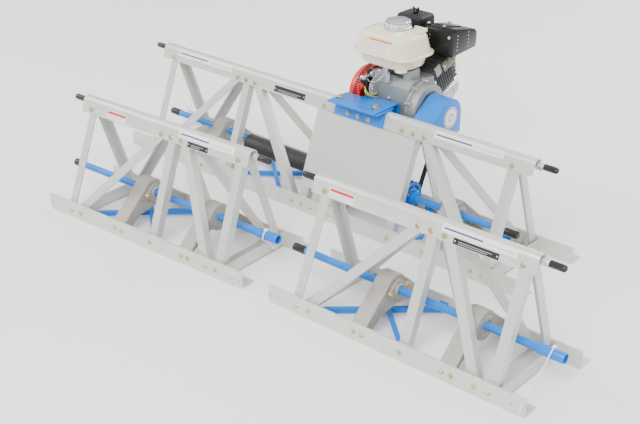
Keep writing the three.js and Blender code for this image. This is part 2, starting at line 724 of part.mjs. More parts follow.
// The drive-side clutch: a grooved rim with a drum beside it, on the stub of the crankshaft.
function clutch() {
  const half = PULLEY_WIDTH / 2;
  const mouth = BELT_WIDTH / 2 + 2;
  const root = BELT_WIDTH / 2 + FIT;
  const radius = CLUTCH_PULLEY_RADIUS;
  const drumEnd = BELT_X + half + 18;
  const points = [
    [0, ENGINE_RIGHT + 8 + FIT],
    [12, ENGINE_RIGHT + 8 + FIT],
    [12, BELT_X - half],
    [radius, BELT_X - half],
    [radius, BELT_X - mouth],
    [radius - GROOVE_DEPTH, BELT_X - root],
    [radius - GROOVE_DEPTH, BELT_X + root],
    [radius, BELT_X + mouth],
    [radius, BELT_X + half],
    [radius - 3, BELT_X + half + 2],
    [radius - 3, drumEnd],
    [13, drumEnd],
    [13, drumEnd + 5],
    [0, drumEnd + 5],
  ];
  return mesh("centrifugal_clutch", turnedX(points, CRANK_Y, CRANK_HEIGHT, 32), ENGINE_ALUMINIUM);
}

// A hood over the clutch and the top of the belt, open below, with a hole for the crankshaft.
function beltCover() {
  const y = CRANK_Y;
  const z = CRANK_HEIGHT - 4;
  const hood = (inset) => {
    const radius = COVER_RADIUS - inset;
    const shape = new THREE.Shape();
    const drop = inset ? 6 : 0;
    shape.moveTo(COVER_FRONT + inset, CHORD_HEIGHT - 20 - drop);
    shape.lineTo(COVER_FRONT + inset, CHORD_HEIGHT + 4);
    shape.absarc(y, z, radius, 2.15, 0, true);
    shape.lineTo(y + radius, COVER_LOW - drop);
    shape.lineTo(y - 45 - drop, COVER_LOW - drop);
    return shape;
  };
  const outer = alongX(hood(0), COVER_FROM, COVER_TO, 14);
  const inner = alongX(hood(COVER_WALL), COVER_FROM + COVER_WALL, COVER_TO - COVER_WALL, 14);
  const hole = roundBarX(26, COVER_FROM - 1, COVER_FROM + COVER_WALL + 1, CRANK_Y, CRANK_HEIGHT);
  return mesh("belt_cover", cut(outer, inner, hole), BLUE_PAINT);
}

// ---------------------------------------------------------------- engine

// Boxes laid along the tilted cylinder: u runs out along the bore, v across it and up.
function tilted(shape) {
  const turn = new THREE.Matrix4().makeRotationX(TILT);
  turn.setPosition(0, CRANK_Y, CRANK_HEIGHT);
  return shape.transform(turn.elements);
}

const CASE_FRONT = MOUNT_FLANGE_Y + 1;
const CYLINDER_FOOT = 88;

function crankcase() {
  const left = ENGINE_LEFT + 63;
  const right = ENGINE_RIGHT - 33;
  const tankRest = SEAM - TANK_LOWER - 2 - FIT;
  const body = outline([
    [CASE_FRONT, BASE + 10],
    [CRANK_Y + 66, BASE + 10],
    [CRANK_Y + 78, BASE + 40],
    [CRANK_Y + 62, CRANK_HEIGHT + 74],
    [CRANK_Y - 36, CRANK_HEIGHT + 84],
    [CASE_FRONT, CRANK_HEIGHT + 62],
  ]);
  const housing = join(
    alongX(body, left, right),
    roundBarX(70, right - 2, ENGINE_RIGHT, CRANK_Y, CRANK_HEIGHT, 32),
    roundBarX(21, ENGINE_RIGHT - 2, ENGINE_RIGHT + 3, CRANK_Y, CRANK_HEIGHT, 24),
    roundBarX(12, ENGINE_RIGHT, ENGINE_RIGHT + 8, CRANK_Y, CRANK_HEIGHT, 24),
    tilted(box(left + 56, right - 8, 40, CYLINDER_FOOT, -42, 44)),
    box(left + 20, right - 16, CASE_FRONT, CRANK_Y + 96, BASE, BASE + 12),
    box(left + 40, left + 62, CRANK_Y - 30, CRANK_Y + 20, CRANK_HEIGHT + 70, tankRest),
    box(right - 35, right - 13, CRANK_Y - 40, CRANK_Y + 10, CRANK_HEIGHT + 70, tankRest),
  );
  return mesh("engine_crankcase", housing, ENGINE_ALUMINIUM);
}

function cylinder() {
  const x0 = ENGINE_LEFT + 112;
  const x1 = ENGINE_RIGHT - 34;
  const barrel = box(x0 + 14, x1 - 14, CYLINDER_FOOT + FIT, 184, -36, 38);
  const head = box(x0 + 2, x1 - 2, 168, 188, -44, 46);
  const valveCover = join(
    box(x0 + 12, x1 - 12, 187, 194, -34, 36),
    box(x0 + 16, x1 - 16, 193, 214, -30, 32),
  );
  const pieces = [barrel, head, valveCover];
  const fins = 8;
  for (let i = 0; i < fins; i += 1) {
    const u = 92 + (i * 76) / fins;
    pieces.push(box(x0, x1, u, u + 3.2, -48, 50));
  }
  return mesh("engine_cylinder", tilted(join(...pieces)), ENGINE_ALUMINIUM);
}

const SEAM = BASE + TANK_SEAM_ABOVE_BASE;
const TANK_TOP = SEAM + TANK_SIZE[2];

function fuelTank() {
  const [cx, cy] = TANK_CENTRE;
  const hx = TANK_SIZE[0] / 2;
  const hy = TANK_SIZE[1] / 2;
  const shell = (inset, radius, z0, z1, taper) =>
    taperedBlock(
      cx - hx + inset,
      cx + hx - inset,
      cy - hy + inset,
      cy + hy - inset,
      radius,
      z0,
      z1,
      taper,
    );
  const upper = shell(7, 34, SEAM - 1, TANK_TOP - 12, 12);
  const crown = shell(19, 26, TANK_TOP - 13, TANK_TOP, 14);
  const rim = roundedRectangle(cx - hx, cx + hx, cy - hy, cy + hy, 38);
  const seam = alongZ(rim, SEAM - 3, SEAM + 1, 4);
  const lower = new THREE.Matrix4().makeRotationX(Math.PI);
  lower.setPosition(0, 2 * cy, 2 * SEAM - 2);
  const pan = shell(7, 34, SEAM, SEAM + TANK_LOWER, 14);
  const neck = roundBarZ(CAP_RADIUS - 10, TANK_TOP - 1, TANK_TOP + 6, cx + 8, cy + 8, 24);
  const tank = join(upper, crown, seam, pan.transform(lower.elements), neck);
  return mesh("fuel_tank", tank, CREAM_PAINT);
}

function fuelCap() {
  const [cx, cy] = TANK_CENTRE;
  const low = TANK_TOP + FIT;
  const neckTop = TANK_TOP + 6 + FIT;
  const neck = CAP_RADIUS - 10 + RUN;
  const points = [
    [0, neckTop],
    [neck, neckTop],
    [neck, low],
    [CAP_RADIUS, low],
    [CAP_RADIUS, low + 17],
    [CAP_RADIUS - 3, low + 21],
    [0, low + 23],
  ];
  return mesh("fuel_cap", turnedZ(points, cx + 8, cy + 8, 30), CHROME);
}

const FILTER_TOP = BASE + FILTER_TOP_ABOVE_BASE;

function airCleaner() {
  const [cx, cy] = FILTER_CENTRE;
  const [sx, sy, sz] = FILTER_SIZE;
  const [x0, x1, y0, y1] = [cx - sx / 2, cx + sx / 2, cy - sy / 2, cy + sy / 2];
  const shell = taperedBlock(x0, x1, y0, y1, 16, FILTER_TOP - sz, FILTER_TOP, 3);
  const dish = turnedZ(
    [
      [0, FILTER_TOP - 4],
      [14, FILTER_TOP - 4],
      [20, FILTER_TOP + 1],
      [0, FILTER_TOP + 1],
    ],
    cx,
    cy,
    20,
  );
  const stud = roundBarZ(3, FILTER_TOP - 5, FILTER_TOP + 4, cx, cy, 10);
  return mesh("air_cleaner", shell.subtract(dish).add(stud), BLACK_PLASTIC);
}

function wingNut() {
  const [cx, cy] = FILTER_CENTRE;
  const low = FILTER_TOP - 4 + FIT;
  const nut = join(
    roundBarZ(7.5, low, low + 12, cx, cy, 12),
    box(cx - 12, cx + 12, cy - 1.8, cy + 1.8, low + 7, low + 22),
  );
  const bore = roundBarZ(3 + RUN, low - 1, FILTER_TOP + 5, cx, cy, 10);
  return mesh("air_cleaner_nut", nut.subtract(bore), BLACK_PAINT);
}

function muffler() {
  const [sx, sy, sz] = MUFFLER_SIZE;
  const [x1, y0] = MUFFLER_CORNER;
  const z0 = BASE + MUFFLER_BOTTOM_ABOVE_BASE;
  const side = outline([
    [y0, z0 + 5],
    [y0 + 6, z0],
    [y0 + sy - 6, z0 + 6],
    [y0 + sy, z0 + 14],
    [y0 + sy, z0 + sz - 34],
    [y0 + sy - 8, z0 + sz - 24],
    [y0 + 12, z0 + sz],
    [y0, z0 + sz - 8],
  ]);
  const pipePath = new THREE.CatmullRomCurve3([
    new THREE.Vector3(x1 - 26, y0 + 40, z0 + 8),
    new THREE.Vector3(x1 - 26, y0 + 38, z0 - 10),
    new THREE.Vector3(x1 - 28, y0 + 34, z0 - 24),
    new THREE.Vector3(x1 - 31, y0 + 30, z0 - 36),
  ]);
  const ring = new THREE.Shape().absarc(0, 0, 12, 0, Math.PI * 2);
  const pipe = new THREE.ExtrudeGeometry(ring, { steps: 8, extrudePath: pipePath, curveSegments: 4 });
  return mesh("muffler", alongX(side, x1 - sx, x1).add(solid(pipe)), BLACK_PAINT);
}

const GRIP_SEAT = CRANK_Y + 92;
const GRIP_HEIGHT = CRANK_HEIGHT + 42;

function recoilCover() {
  const left = ENGINE_LEFT;
  const points = [
    [0, left],
    [40, left],
    [62, left + 5],
    [RECOIL_RADIUS - 10, left + 14],
    [RECOIL_RADIUS - 4, left + 30],
    [RECOIL_RADIUS, left + 32],
    [RECOIL_RADIUS, left + 62],
    [0, left + 62],
  ];
  const dome = turnedX(points, CRANK_Y, CRANK_HEIGHT, 32);
  const eye = box(left + 36, left + 54, CRANK_Y + 60, GRIP_SEAT, GRIP_HEIGHT - 9, GRIP_HEIGHT + 9);
  return mesh("recoil_cover", dome.add(eye), RED_PAINT);
}

// The starter's pull grip rests against the rope eye at the back of the recoil cover.
function starterGrip() {
  const x = ENGINE_LEFT + 45;
  const y = GRIP_SEAT + FIT;
  const z = GRIP_HEIGHT;
  const stem = roundBarY(6, y, y + 12, x, z, 14);
  const handle = alongX(roundedRectangle(y + 10, y + 24, z - 30, z + 30, 6), x - 8, x + 8, 4);
  return mesh("starter_grip", stem.add(handle), BLACK_PLASTIC);
}

function carburettor() {
  const x0 = ENGINE_LEFT;
  const y0 = CRANK_Y + 80;
  const z0 = CRANK_HEIGHT + 42;
  const made = join(
    box(x0 + 65, x0 + 112 - FIT, y0 + 10, y0 + 50, z0 + 20, z0 + 60),
    roundBarZ(20, z0, z0 + 22, x0 + 87, y0 + 30, 20),
    box(x0 + 75, x0 + 101, y0 + 16, y0 + 44, z0 + 58, FILTER_TOP - FILTER_SIZE[2] - FIT),
  );
  return mesh("carburettor", made, ENGINE_ALUMINIUM);
}

// The control bracket's lever, which turns about a pin along X on the front of the crankcase.
const LEVER_PIN = { y: CRANK_Y - 66, z: CRANK_HEIGHT + 84 };

function throttleLever() {
  const x0 = ENGINE_LEFT + 85;
  const { y, z } = LEVER_PIN;
  const made = join(
    roundBarX(9, x0 + 4, x0 + 12, y, z, 18),
    box(x0 + 5, x0 + 9, y - 42, y, z - 4, z + 4),
    roundBarX(6, x0, x0 + 16, y - 42, z, 14),
  );
  return mesh("throttle_lever", made, ZINC);
}

function controlBox() {
  const x0 = ENGINE_LEFT + 63;
  const { y, z } = LEVER_PIN;
  const back = CASE_FRONT - FIT;
  const made = join(
    box(x0, x0 + 31, back - 34, back, CRANK_HEIGHT + 32, CRANK_HEIGHT + 68),
    box(x0 + 14, x0 + 26 - FIT, y - 10, back, z - 18, z + 12),
  );
  return mesh("control_box", made, BLACK_PLASTIC);
}

function engineSwitch() {
  const y = CASE_FRONT - 34 - 2 * FIT;
  const x = ENGINE_LEFT + 74;
  const z = CRANK_HEIGHT + 50;
  const knob = roundBarY(9, y - 12, y, x, z, 18);
  const made = join(knob, box(x - 2.5, x + 2.5, y - 18, y - 10, z - 9, z + 9));
  return mesh("engine_switch", made, RED_PAINT);
}

// ---------------------------------------------------------------- the kit

function powerSection() {
  const section = new THREE.Group();
  const ends = POWER_END_BRACES;
  section.add(
    chord("power_chord", POWER_LENGTH),
    blade("power_front_blade", POWER_LENGTH, FRONT_FACE),
    blade("power_rear_blade", POWER_LENGTH, REAR_FACE),
    endFrame("power_left_end_frame", ends.leftUpright, ends.leftDiagonal, POWER_CROSS_ANGLES[0]),
    endFrame("power_right_end_frame", ends.rightUpright, ends.rightDiagonal, POWER_CROSS_ANGLES[1]),
    powerShaft(),
    guardTube(),
    tieRod("power_tie_rod", POWER_LENGTH),
    frontPanel(),
    saddle(),
    engineMount(),
    groovedPulley(
      "driven_pulley",
      DRIVEN_PULLEY_RADIUS,
      0,
      SHAFT_HEIGHT,
      21,
      14,
      SHAFT_RADIUS + FIT,
      BLUE_PAINT,
    ),
    belt(),
    clutch(),
    beltCover(),
  );
  POWER_INNER_BRACES.forEach((station, i) => {
    const pair = bracePair(station);
    section.add(mesh("power_brace_pair_" + (i + 1), pair, MILL_ALUMINIUM));
  });
  POWER_TIES.forEach((tie, i) => {
    section.add(crossBrace("power_cross_brace_" + (i + 1), tie));
  });
  POWER_CASTINGS.forEach((x, i) => {
    section.add(casting("power_bearing_casting_" + (i + 1), x, i === 1 ? 1 : -1));
  });
  return section;
}

function engine() {
  const group = new THREE.Group();
  group.add(
    crankcase(),
    cylinder(),
    fuelTank(),
    fuelCap(),
    airCleaner(),
    wingNut(),
    muffler(),
    recoilCover(),
    starterGrip(),
    carburettor(),
    controlBox(),
    throttleLever(),
    engineSwitch(),
  );
  return group;
}

const kit = new THREE.Group();
kit.add(
  powerSection(),
  engine(),
  extension("left", LEFT_EXTENSION_AT),
  extension("right", RIGHT_EXTENSION_AT),
);

// The origin is the middle of the kit's footprint, at the height of the blades' undersides.
const bounds = new THREE.Box3().setFromObject(kit, true);
const middle = bounds.getCenter(new THREE.Vector3());
kit.position.set(-middle.x, -middle.y, -bounds.min.z);

export default kit;
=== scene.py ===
"""Detailed pieces and finishes for a truss screed: a powered section and two extension sections."""
import json
import math

import bmesh
import bpy
from mathutils import Matrix, Vector


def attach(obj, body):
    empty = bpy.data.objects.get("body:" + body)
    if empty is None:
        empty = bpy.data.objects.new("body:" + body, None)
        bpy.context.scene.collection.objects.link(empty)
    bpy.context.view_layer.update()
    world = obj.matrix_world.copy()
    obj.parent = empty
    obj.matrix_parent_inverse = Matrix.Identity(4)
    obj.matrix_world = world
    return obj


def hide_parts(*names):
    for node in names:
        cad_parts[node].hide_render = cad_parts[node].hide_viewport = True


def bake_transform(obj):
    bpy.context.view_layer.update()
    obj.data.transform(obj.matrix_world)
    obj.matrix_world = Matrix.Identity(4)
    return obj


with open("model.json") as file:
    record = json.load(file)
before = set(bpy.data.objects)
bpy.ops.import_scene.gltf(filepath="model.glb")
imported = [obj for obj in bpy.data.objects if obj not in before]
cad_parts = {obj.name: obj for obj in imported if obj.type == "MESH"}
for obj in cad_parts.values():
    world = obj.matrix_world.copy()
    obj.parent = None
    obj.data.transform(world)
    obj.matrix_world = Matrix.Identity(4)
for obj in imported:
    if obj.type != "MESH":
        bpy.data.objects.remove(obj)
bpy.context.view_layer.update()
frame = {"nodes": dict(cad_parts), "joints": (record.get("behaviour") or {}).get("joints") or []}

bl_info = {
    "name": "Truss Screed Pieces",
    "version": (1, 0, 0),
    "blender": (4, 5, 0),
    "location": "View3D > Sidebar > Screed",
    "description": "Builds the pieces and finishes of a petrol-driven truss screed round its frame",
    "category": "Object",
}

# ------------------------------------------------------------------ where the sections are

JOINTS = {joint["name"]: joint for joint in frame["joints"]}


def section_place(joint_name, local):
    """Millimetres in a section's own frame to metres in the row frame, from a joint on its shaft."""
    joint = JOINTS[joint_name]
    along = Vector(joint["axis"])
    turn = Matrix.Rotation(math.atan2(along.y, along.x), 4, "Z")
    back = Matrix.Translation(-Vector(local) / 1000)
    return Matrix.Translation(joint["pos_m"]) @ turn @ back @ Matrix.Scale(0.001, 4)


PLACE = {
    "power": section_place("power_shaft_turn", (762, 0, 103)),
    "left": section_place("left_shaft_turn", (381, 0, 103)),
    "right": section_place("right_shaft_turn", (381, 0, 103)),
    "row": Matrix.Identity(4),
}
BODY = {"power": "power_section", "left": "left_extension", "right": "right_extension"}
SHAFT_BODY = {"power": "power_shaft", "left": "left_shaft", "right": "right_shaft"}
ROD_BODY = {"power": "power_rod", "left": "left_rod", "right": "right_rod"}
LENGTH = {"power": 1524, "left": 762, "right": 762}

# ------------------------------------------------------------------ sizes of the frame, mm

BLADE_FRONT = -125
BLADE_REAR = 129.8
BLADE_BOLT_HEIGHT = 23.2
CHORD_HEIGHT = 322
CHORD_SETBACK = 61
CHORD_WALL = 3.2
CHORD_RADIUS = 17
FLANGE_DROP = 25
FRONT_LEAN = math.radians(19.87)
REAR_LEAN = math.radians(20.70)
CHORD_BOLT_HEIGHT = 308
SHAFT_HEIGHT = 103
SHAFT_RADIUS = 10
CASTING_WIDTH = 46

BLADE_BOLTS = {
    "power": (108.9, 716.5, 755.0, 792.3, 1076.1, 1360.1, 1396.6),
    "left": (92.8, 132.6, 417.3, 627.6, 665.6),
    "right": (92.8, 132.6, 417.3, 627.6, 665.6),
}
CASTING_BOLTS = {
    "power": (304, 328, 861.8, 884.7, 1202, 1226),
    "left": (278.3, 303.3, 538.7, 564.0),
    "right": (278.3, 303.3, 538.7, 564.0),
}
CHORD_BOLTS = {
    "power": (113.4, 401.8, 437.5, 476.6, 758.5, 1042.1, 1080.2, 1117.7, 1399.9),
    "left": (99.8, 383.8, 421.6, 459.3, 667.3),
    "right": (99.8, 383.8, 421.6, 459.3, 667.3),
}
SADDLE_BOLTS = (849.4, 887.3, 924.8)
CASTINGS = {
    "power": (("1", 316, -1), ("2", 873, 1), ("3", 1214, -1)),
    "left": (("a", 291, 1), ("b", 551, -1)),
    "right": (("a", 291, 1), ("b", 551, -1)),
}

# ------------------------------------------------------------------ sizes of the engine, mm

CRANK = Vector((0, 115, 330))
BELT_X = 1059
TANK_CENTRE = (900, 111)
TANK_SEAM = 478
TANK_TOP = 544
FILTER_CENTRE = (876, 245)
MUFFLER_X = (945, 1044)
MUFFLER_Y = (197, 320)
MUFFLER_Z = (461, 543)
TILT = math.radians(25)
TILTED = Matrix.Translation(CRANK) @ Matrix.Rotation(TILT, 4, "X")

# ------------------------------------------------------------------ materials


class Value:
    """One output socket of a material, with arithmetic that adds Math nodes."""

    def __init__(self, finish, socket):
        self.finish = finish
        self.socket = socket

    def maths(self, operation, first, second):
        return self.finish.node("ShaderNodeMath", {"operation": operation}, {0: first, 1: second})

    def __add__(self, other):
        return self.maths("ADD", self, other)

    def __radd__(self, other):
        return self.maths("ADD", other, self)

    def __sub__(self, other):
        return self.maths("SUBTRACT", self, other)

    def __rsub__(self, other):
        return self.maths("SUBTRACT", other, self)

    def __mul__(self, other):
        return self.maths("MULTIPLY", self, other)

    def __rmul__(self, other):
        return self.maths("MULTIPLY", other, self)

    def __pow__(self, other):
        return self.maths("POWER", self, other)


class Finish:
    """A material built from nodes."""

    def __init__(self, name):
        self.material = bpy.data.materials.new(name)
        self.material.use_nodes = True
        self.tree = self.material.node_tree
        self.shader = self.tree.nodes["Principled BSDF"]
        self.place = self.node("ShaderNodeTexCoord", output="Object")

    def plug(self, value, socket):
        if isinstance(value, Value):
            self.tree.links.new(value.socket, socket)
        else:
            socket.default_value = value

    def node(self, kind, settings=None, inputs=None, output=0):
        """Adds a node: its settings first, then the values or links of its sockets."""
        made = self.tree.nodes.new(kind)
        for key, value in (settings or {}).items():
            if key == "stops":
                ramp = made.color_ramp
                while len(ramp.elements) < len(value):
                    ramp.elements.new(1)
                for element, (position, colour) in zip(ramp.elements, value):
                    element.position = position
                    element.color = colour
            else:
                setattr(made, key, value)
        for key, value in (inputs or {}).items():
            self.plug(value, made.inputs[key])
        return Value(self, made.outputs[output])

    def set(self, **sockets):
        """Sets the shader's sockets: underscores stand for the spaces in their names."""
        for key, value in sockets.items():
            self.plug(value, self.shader.inputs[key.replace("_", " ")])

    def noise(self, scale, detail=3, stretch=(1, 1, 1), shift=(0, 0, 0)):
        """Soft noise, scale in features per metre, on the piece's own coordinates."""
        placed = self.node(
            "ShaderNodeMapping",
            {},
            {"Vector": self.place, "Scale": stretch, "Location": shift},
        )
        return self.node(
            "ShaderNodeTexNoise",
            {},
            {"Vector": placed, "Scale": scale, "Detail": detail, "Roughness": 0.55},
        )

    def cells(self, scale, feature="F1"):
        return self.node(
            "ShaderNodeTexVoronoi",
            {"feature": feature},
            {"Vector": self.place, "Scale": scale},
        )

    def ramp(self, value, low, high):
        """0 below low, 1 above high, soft between."""
        return self.node(
            "ShaderNodeMapRange",
            {"interpolation_type": "SMOOTHSTEP"},
            {"Value": value, "From Min": low, "From Max": high},
        )

    def mix(self, factor, first, second):
        return self.node(
            "ShaderNodeMix",
            {"data_type": "RGBA"},
            {0: factor, 6: first, 7: second},
            output=2,
        )

    def bump(self, height, distance, strength=1.0):
        self.set(
            Normal=self.node(
                "ShaderNodeBump",
                {},
                {"Height": height, "Distance": distance, "Strength": strength},
            )
        )


def shade(colour, share):
    """A colour made darker or lighter, with its alpha."""
    return tuple(min(1, part * share) for part in colour[:3]) + (1,)


def metal(name, colour, roughness, metallic, streak=(1, 1, 1), spread=0.10, fine=900, depth=0.00006):
    """Bare or plated metal: drawn or cast grain, cloudy tone and smudges."""
    made = Finish(name)
    cloud = made.noise(6, 4)
    grain = made.noise(fine, 2, stretch=streak)
    lines = made.noise(140, 3, stretch=streak, shift=(3, 1, 2))
    smudge = made.ramp(made.noise(22, 5, shift=(5, 2, 7)), 0.52, 0.72)
    tone = made.mix(cloud, shade(colour, 1 - spread), shade(colour, 1 + spread))
    tone = made.mix(lines * 0.5, tone, shade(colour, 1 - 0.9 * spread))
    tone = made.mix(smudge * 0.22, tone, shade(colour, 0.80))
    made.set(
        Base_Color=tone,
        Roughness=roughness - 0.06 + grain * 0.10 + smudge * 0.08,
        Metallic=metallic,
    )
    made.bump(grain * 0.5 + lines * 0.5, depth)
    return made.material


def rough_cast(name, colour, roughness, metallic, grit=500, depth=0.0005):
    """Sand-cast or die-cast metal: pitted skin, uneven tone, dark in its pits."""
    made = Finish(name)
    coarse = made.noise(grit * 0.25, 4)
    fine = made.noise(grit, 3)
    pits = made.cells(grit * 0.9)
    patches = made.ramp(made.noise(30, 5, shift=(2, 4, 1)), 0.45, 0.7)
    tone = made.mix(fine, shade(colour, 0.82), shade(colour, 1.12))
    tone = made.mix(patches * 0.35, tone, shade(colour, 0.68))
    made.set(Base_Color=tone, Roughness=roughness - 0.05 + fine * 0.14, Metallic=metallic)
    made.bump(coarse * 0.8 + fine * 0.5 + pits * 0.25, depth)
    return made.material


def enamel(name, colour, roughness=0.22, coat=0.5, peel=0.00003, dust=0.10, shine=0.5):
    """Sprayed paint: slight orange peel, soft tone changes and a little dust."""
    made = Finish(name)
    skin = made.noise(420, 2)
    cloud = made.noise(9, 3)
    film = made.ramp(made.noise(35, 6, shift=(1, 6, 3)), 0.5, 0.8)
    tone = made.mix(cloud, shade(colour, 0.93), shade(colour, 1.05))
    dusty = tuple(0.75 * part + 0.12 for part in colour[:3]) + (1,)
    tone = made.mix(film * dust, tone, dusty)
    made.set(Base_Color=tone, Roughness=roughness + film * 0.10, Specular_IOR_Level=shine)
    made.set(Coat_Weight=coat, Coat_Roughness=0.08)
    made.bump(skin, peel)
    return made.material


def plastic(name, colour, roughness=0.45, grain=1500, depth=0.00005, coat=0.0, shine=0.5):
    """Moulded plastic or rubber with a fine leathery grain."""
    made = Finish(name)
    skin = made.cells(grain)
    cloud = made.noise(14, 4)
    scuffs = made.ramp(made.noise(60, 5, stretch=(1, 1, 4), shift=(4, 4, 1)), 0.6, 0.75)
    tone = made.mix(cloud, shade(colour, 0.85), shade(colour, 1.2))
    grey = tuple(part * 0.7 + 0.07 for part in colour[:3]) + (1,)
    tone = made.mix(scuffs * 0.25, tone, grey)
    made.set(Base_Color=tone, Roughness=roughness + scuffs * 0.12, Coat_Weight=coat)
    made.set(Specular_IOR_Level=shine)
    made.bump(skin, depth)
    return made.material


def scorched(name, colour, tarnish):
    """Exhaust steel: brown heat tint over grey."""
    made = Finish(name)
    tint = made.ramp(made.noise(40, 5), 0.3, 0.7)
    spots = made.cells(260)
    tone = made.mix(tint, colour, tarnish)
    made.set(Base_Color=tone, Roughness=0.42 + tint * 0.2, Metallic=0.75)
    made.bump(spots + tint, 0.0002)
    return made.material


def spangled(name, colour):
    """Galvanised sheet: crystals of slightly different greys."""
    made = Finish(name)
    placed = made.place
    flake = made.node("ShaderNodeTexVoronoi", {}, {"Vector": placed, "Scale": 160}, output="Color")
    value = made.node("ShaderNodeSeparateColor", {}, {"Color": flake})
    made.set(
        Base_Color=made.mix(value, shade(colour, 0.88), shade(colour, 1.08)),
        Roughness=0.38 + value * 0.14,
        Metallic=0.7,
    )
    made.bump(made.noise(300, 3), 0.00008)
    return made.material


def decal(name, colour):
    """Printed vinyl: satin, with a faint texture and worn patches."""
    made = Finish(name)
    worn = made.ramp(made.noise(90, 5), 0.62, 0.8)
    made.set(
        Base_Color=made.mix(worn * 0.3, colour, shade(colour, 0.8)),
        Roughness=0.32 + worn * 0.2,
    )
    made.bump(made.noise(700, 2), 0.00003)
    return made.material


def nylon(name):
    """Milky nylon strap."""
    made = Finish(name)
    made.set(
        Base_Color=made.mix(made.noise(200, 3), (0.80, 0.81, 0.76, 1), (0.95, 0.95, 0.91, 1)),
        Roughness=0.35 + made.noise(500, 2) * 0.1,
        Subsurface_Weight=0.3,
    )
    made.shader.inputs["Subsurface Radius"].default_value = (0.004, 0.004, 0.003)
    made.bump(made.noise(900, 2), 0.00004)
    return made.material


FINISHES = {}


def finishes():
    """Makes every finish once, from the panel's colours."""
    if FINISHES:
        return FINISHES
    user = bpy.context.scene.screed
    mill = tuple(user.mill_colour) + (1,)
    blue = tuple(user.blue_colour) + (1,)
    along = (0.04, 1, 1)
    upward = (1, 1, 0.05)
    FINISHES.update(
        mill_x=metal("mill aluminium, drawn along X", mill, user.mill_roughness, 0.45, along),
        mill_z=metal("mill aluminium, drawn upwards", mill, user.mill_roughness, 0.45, upward),
        sheet=metal("aluminium sheet", shade(mill, 1.06), 0.40, 0.45, along, 0.04),
        cast=rough_cast("sand-cast aluminium", (0.42, 0.395, 0.36, 1), 0.6, 0.35),
        machined=metal("machined face", (0.62, 0.61, 0.58, 1), 0.28, 0.9, (1, 1, 1), 0.06, 2600),
        die_cast=rough_cast("die-cast aluminium", (0.33, 0.34, 0.34, 1), 0.48, 0.6, 800, 0.00025),
        fins=rough_cast("cast fins", (0.17, 0.175, 0.18, 1), 0.42, 0.7, 900, 0.0002),
        blue=enamel("blue paint", blue, 0.3, 0.12, 0.00003, 0.02, 0.3),
        blue_satin=enamel("blue paint, satin", shade(blue, 0.92), 0.36, 0.08, 0.00006, 0.04, 0.3),
        cream=enamel("cream paint", tuple(user.tank_colour) + (1,), 0.16, 0.6, 0.00002, 0.04),
        red=enamel("red paint", (0.70, 0.006, 0.010, 1), 0.22, 0.35, 0.00003, 0.03, 0.4),
        black=enamel("black enamel", (0.006, 0.006, 0.0065, 1), 0.16, 0.06, 0.00003, 0.01, 0.3),
        # The louvres' enamel is grey (0.20) where the shield is black: painted highlight along the louvres,
        # with a little real dust on top.
        louvre=enamel("black enamel greyed as painted highlight", (0.20, 0.20, 0.19, 1), 0.3, 0.2, 0.00004, 0.1, 0.5),
        matt_black=plastic("matt black paint", (0.020, 0.020, 0.021, 1), 0.5, 900, 0.0001),
        moulded=plastic("moulded black plastic", (0.009, 0.009, 0.010, 1), 0.42, 1300, 0.00009, 0, 0.3),
        vinyl=plastic("black vinyl", (0.012, 0.012, 0.012, 1), 0.3, 700, 0.00004, 0.2, 0.35),
        rubber=plastic("black rubber", (0.022, 0.021, 0.020, 1), 0.7, 1100, 0.00012),
        red_plastic=plastic("red plastic", (0.70, 0.02, 0.015, 1), 0.35, 1300, 0.00005),
        yellow=plastic("yellow plastic", (0.78, 0.62, 0.03, 1), 0.4, 1300, 0.00005),
        zinc=metal("zinc plate", (0.60, 0.62, 0.63, 1), 0.30, 0.85, (1, 1, 1), 0.08, 1400),
        brass_zinc=metal("yellow zinc plate", (0.66, 0.50, 0.20, 1), 0.30, 0.8, (1, 1, 1), 0.16, 1400),
        chrome=metal("chrome", (0.68, 0.70, 0.72, 1), 0.09, 1.0, (1, 1, 1), 0.04, 300, 0.00001),
        galvanised=spangled("galvanised sheet", (0.52, 0.55, 0.55, 1)),
        exhaust=scorched("tarnished steel", (0.35, 0.31, 0.26, 1), (0.20, 0.13, 0.07, 1)),
        gasket=plastic("gasket", (0.55, 0.42, 0.22, 1), 0.7, 1300, 0.00008),
        white=decal("white vinyl", (0.86, 0.86, 0.84, 1)),
        red_print=decal("red print", (0.72, 0.03, 0.03, 1)),
        orange_print=decal("orange print", (0.85, 0.20, 0.02, 1)),
        grey_print=decal("grey print", (0.45, 0.46, 0.47, 1)),
        navy_print=decal("navy print", (0.03, 0.06, 0.20, 1)),
        black_plate=decal("black anodised plate", (0.02, 0.02, 0.022, 1)),
        nylon=nylon("natural nylon"),
        dark=plastic("shadowed opening", (0.004, 0.004, 0.004, 1), 0.9, 300, 0.0001),
    )
    return FINISHES


# ------------------------------------------------------------------ modelling helpers


def at(x, y, z):
    return Matrix.Translation((x, y, z))


def facing(direction, roll=0.0):
    """A turn that takes +Z to a direction."""
    quaternion = Vector(direction).to_track_quat("Z", "Y")
    return quaternion.to_matrix().to_4x4() @ Matrix.Rotation(roll, 4, "Z")


def block(bm, low, high, edge=0.0, segments=2):
    """A block between two corners with its edges rounded."""
    low, high = Vector(low), Vector(high)
    size = high - low
    made = bmesh.ops.create_cube(bm, size=1, matrix=Matrix.Translation((low + high) / 2))
    bmesh.ops.scale(bm, vec=size, verts=made["verts"], space=Matrix.Translation(-(low + high) / 2))
    if edge:
        edges = list(dict.fromkeys(e for v in made["verts"] for e in v.link_edges))
        round_edges(bm, edges, edge, segments)


def round_edges(bm, edges, width, segments=2):
    bmesh.ops.bevel(
        bm,
        geom=edges,
        offset=width,
        offset_type="OFFSET",
        affect="EDGES",
        segments=segments,
        profile=0.5,
        material=-1,
        clamp_overlap=True,
    )


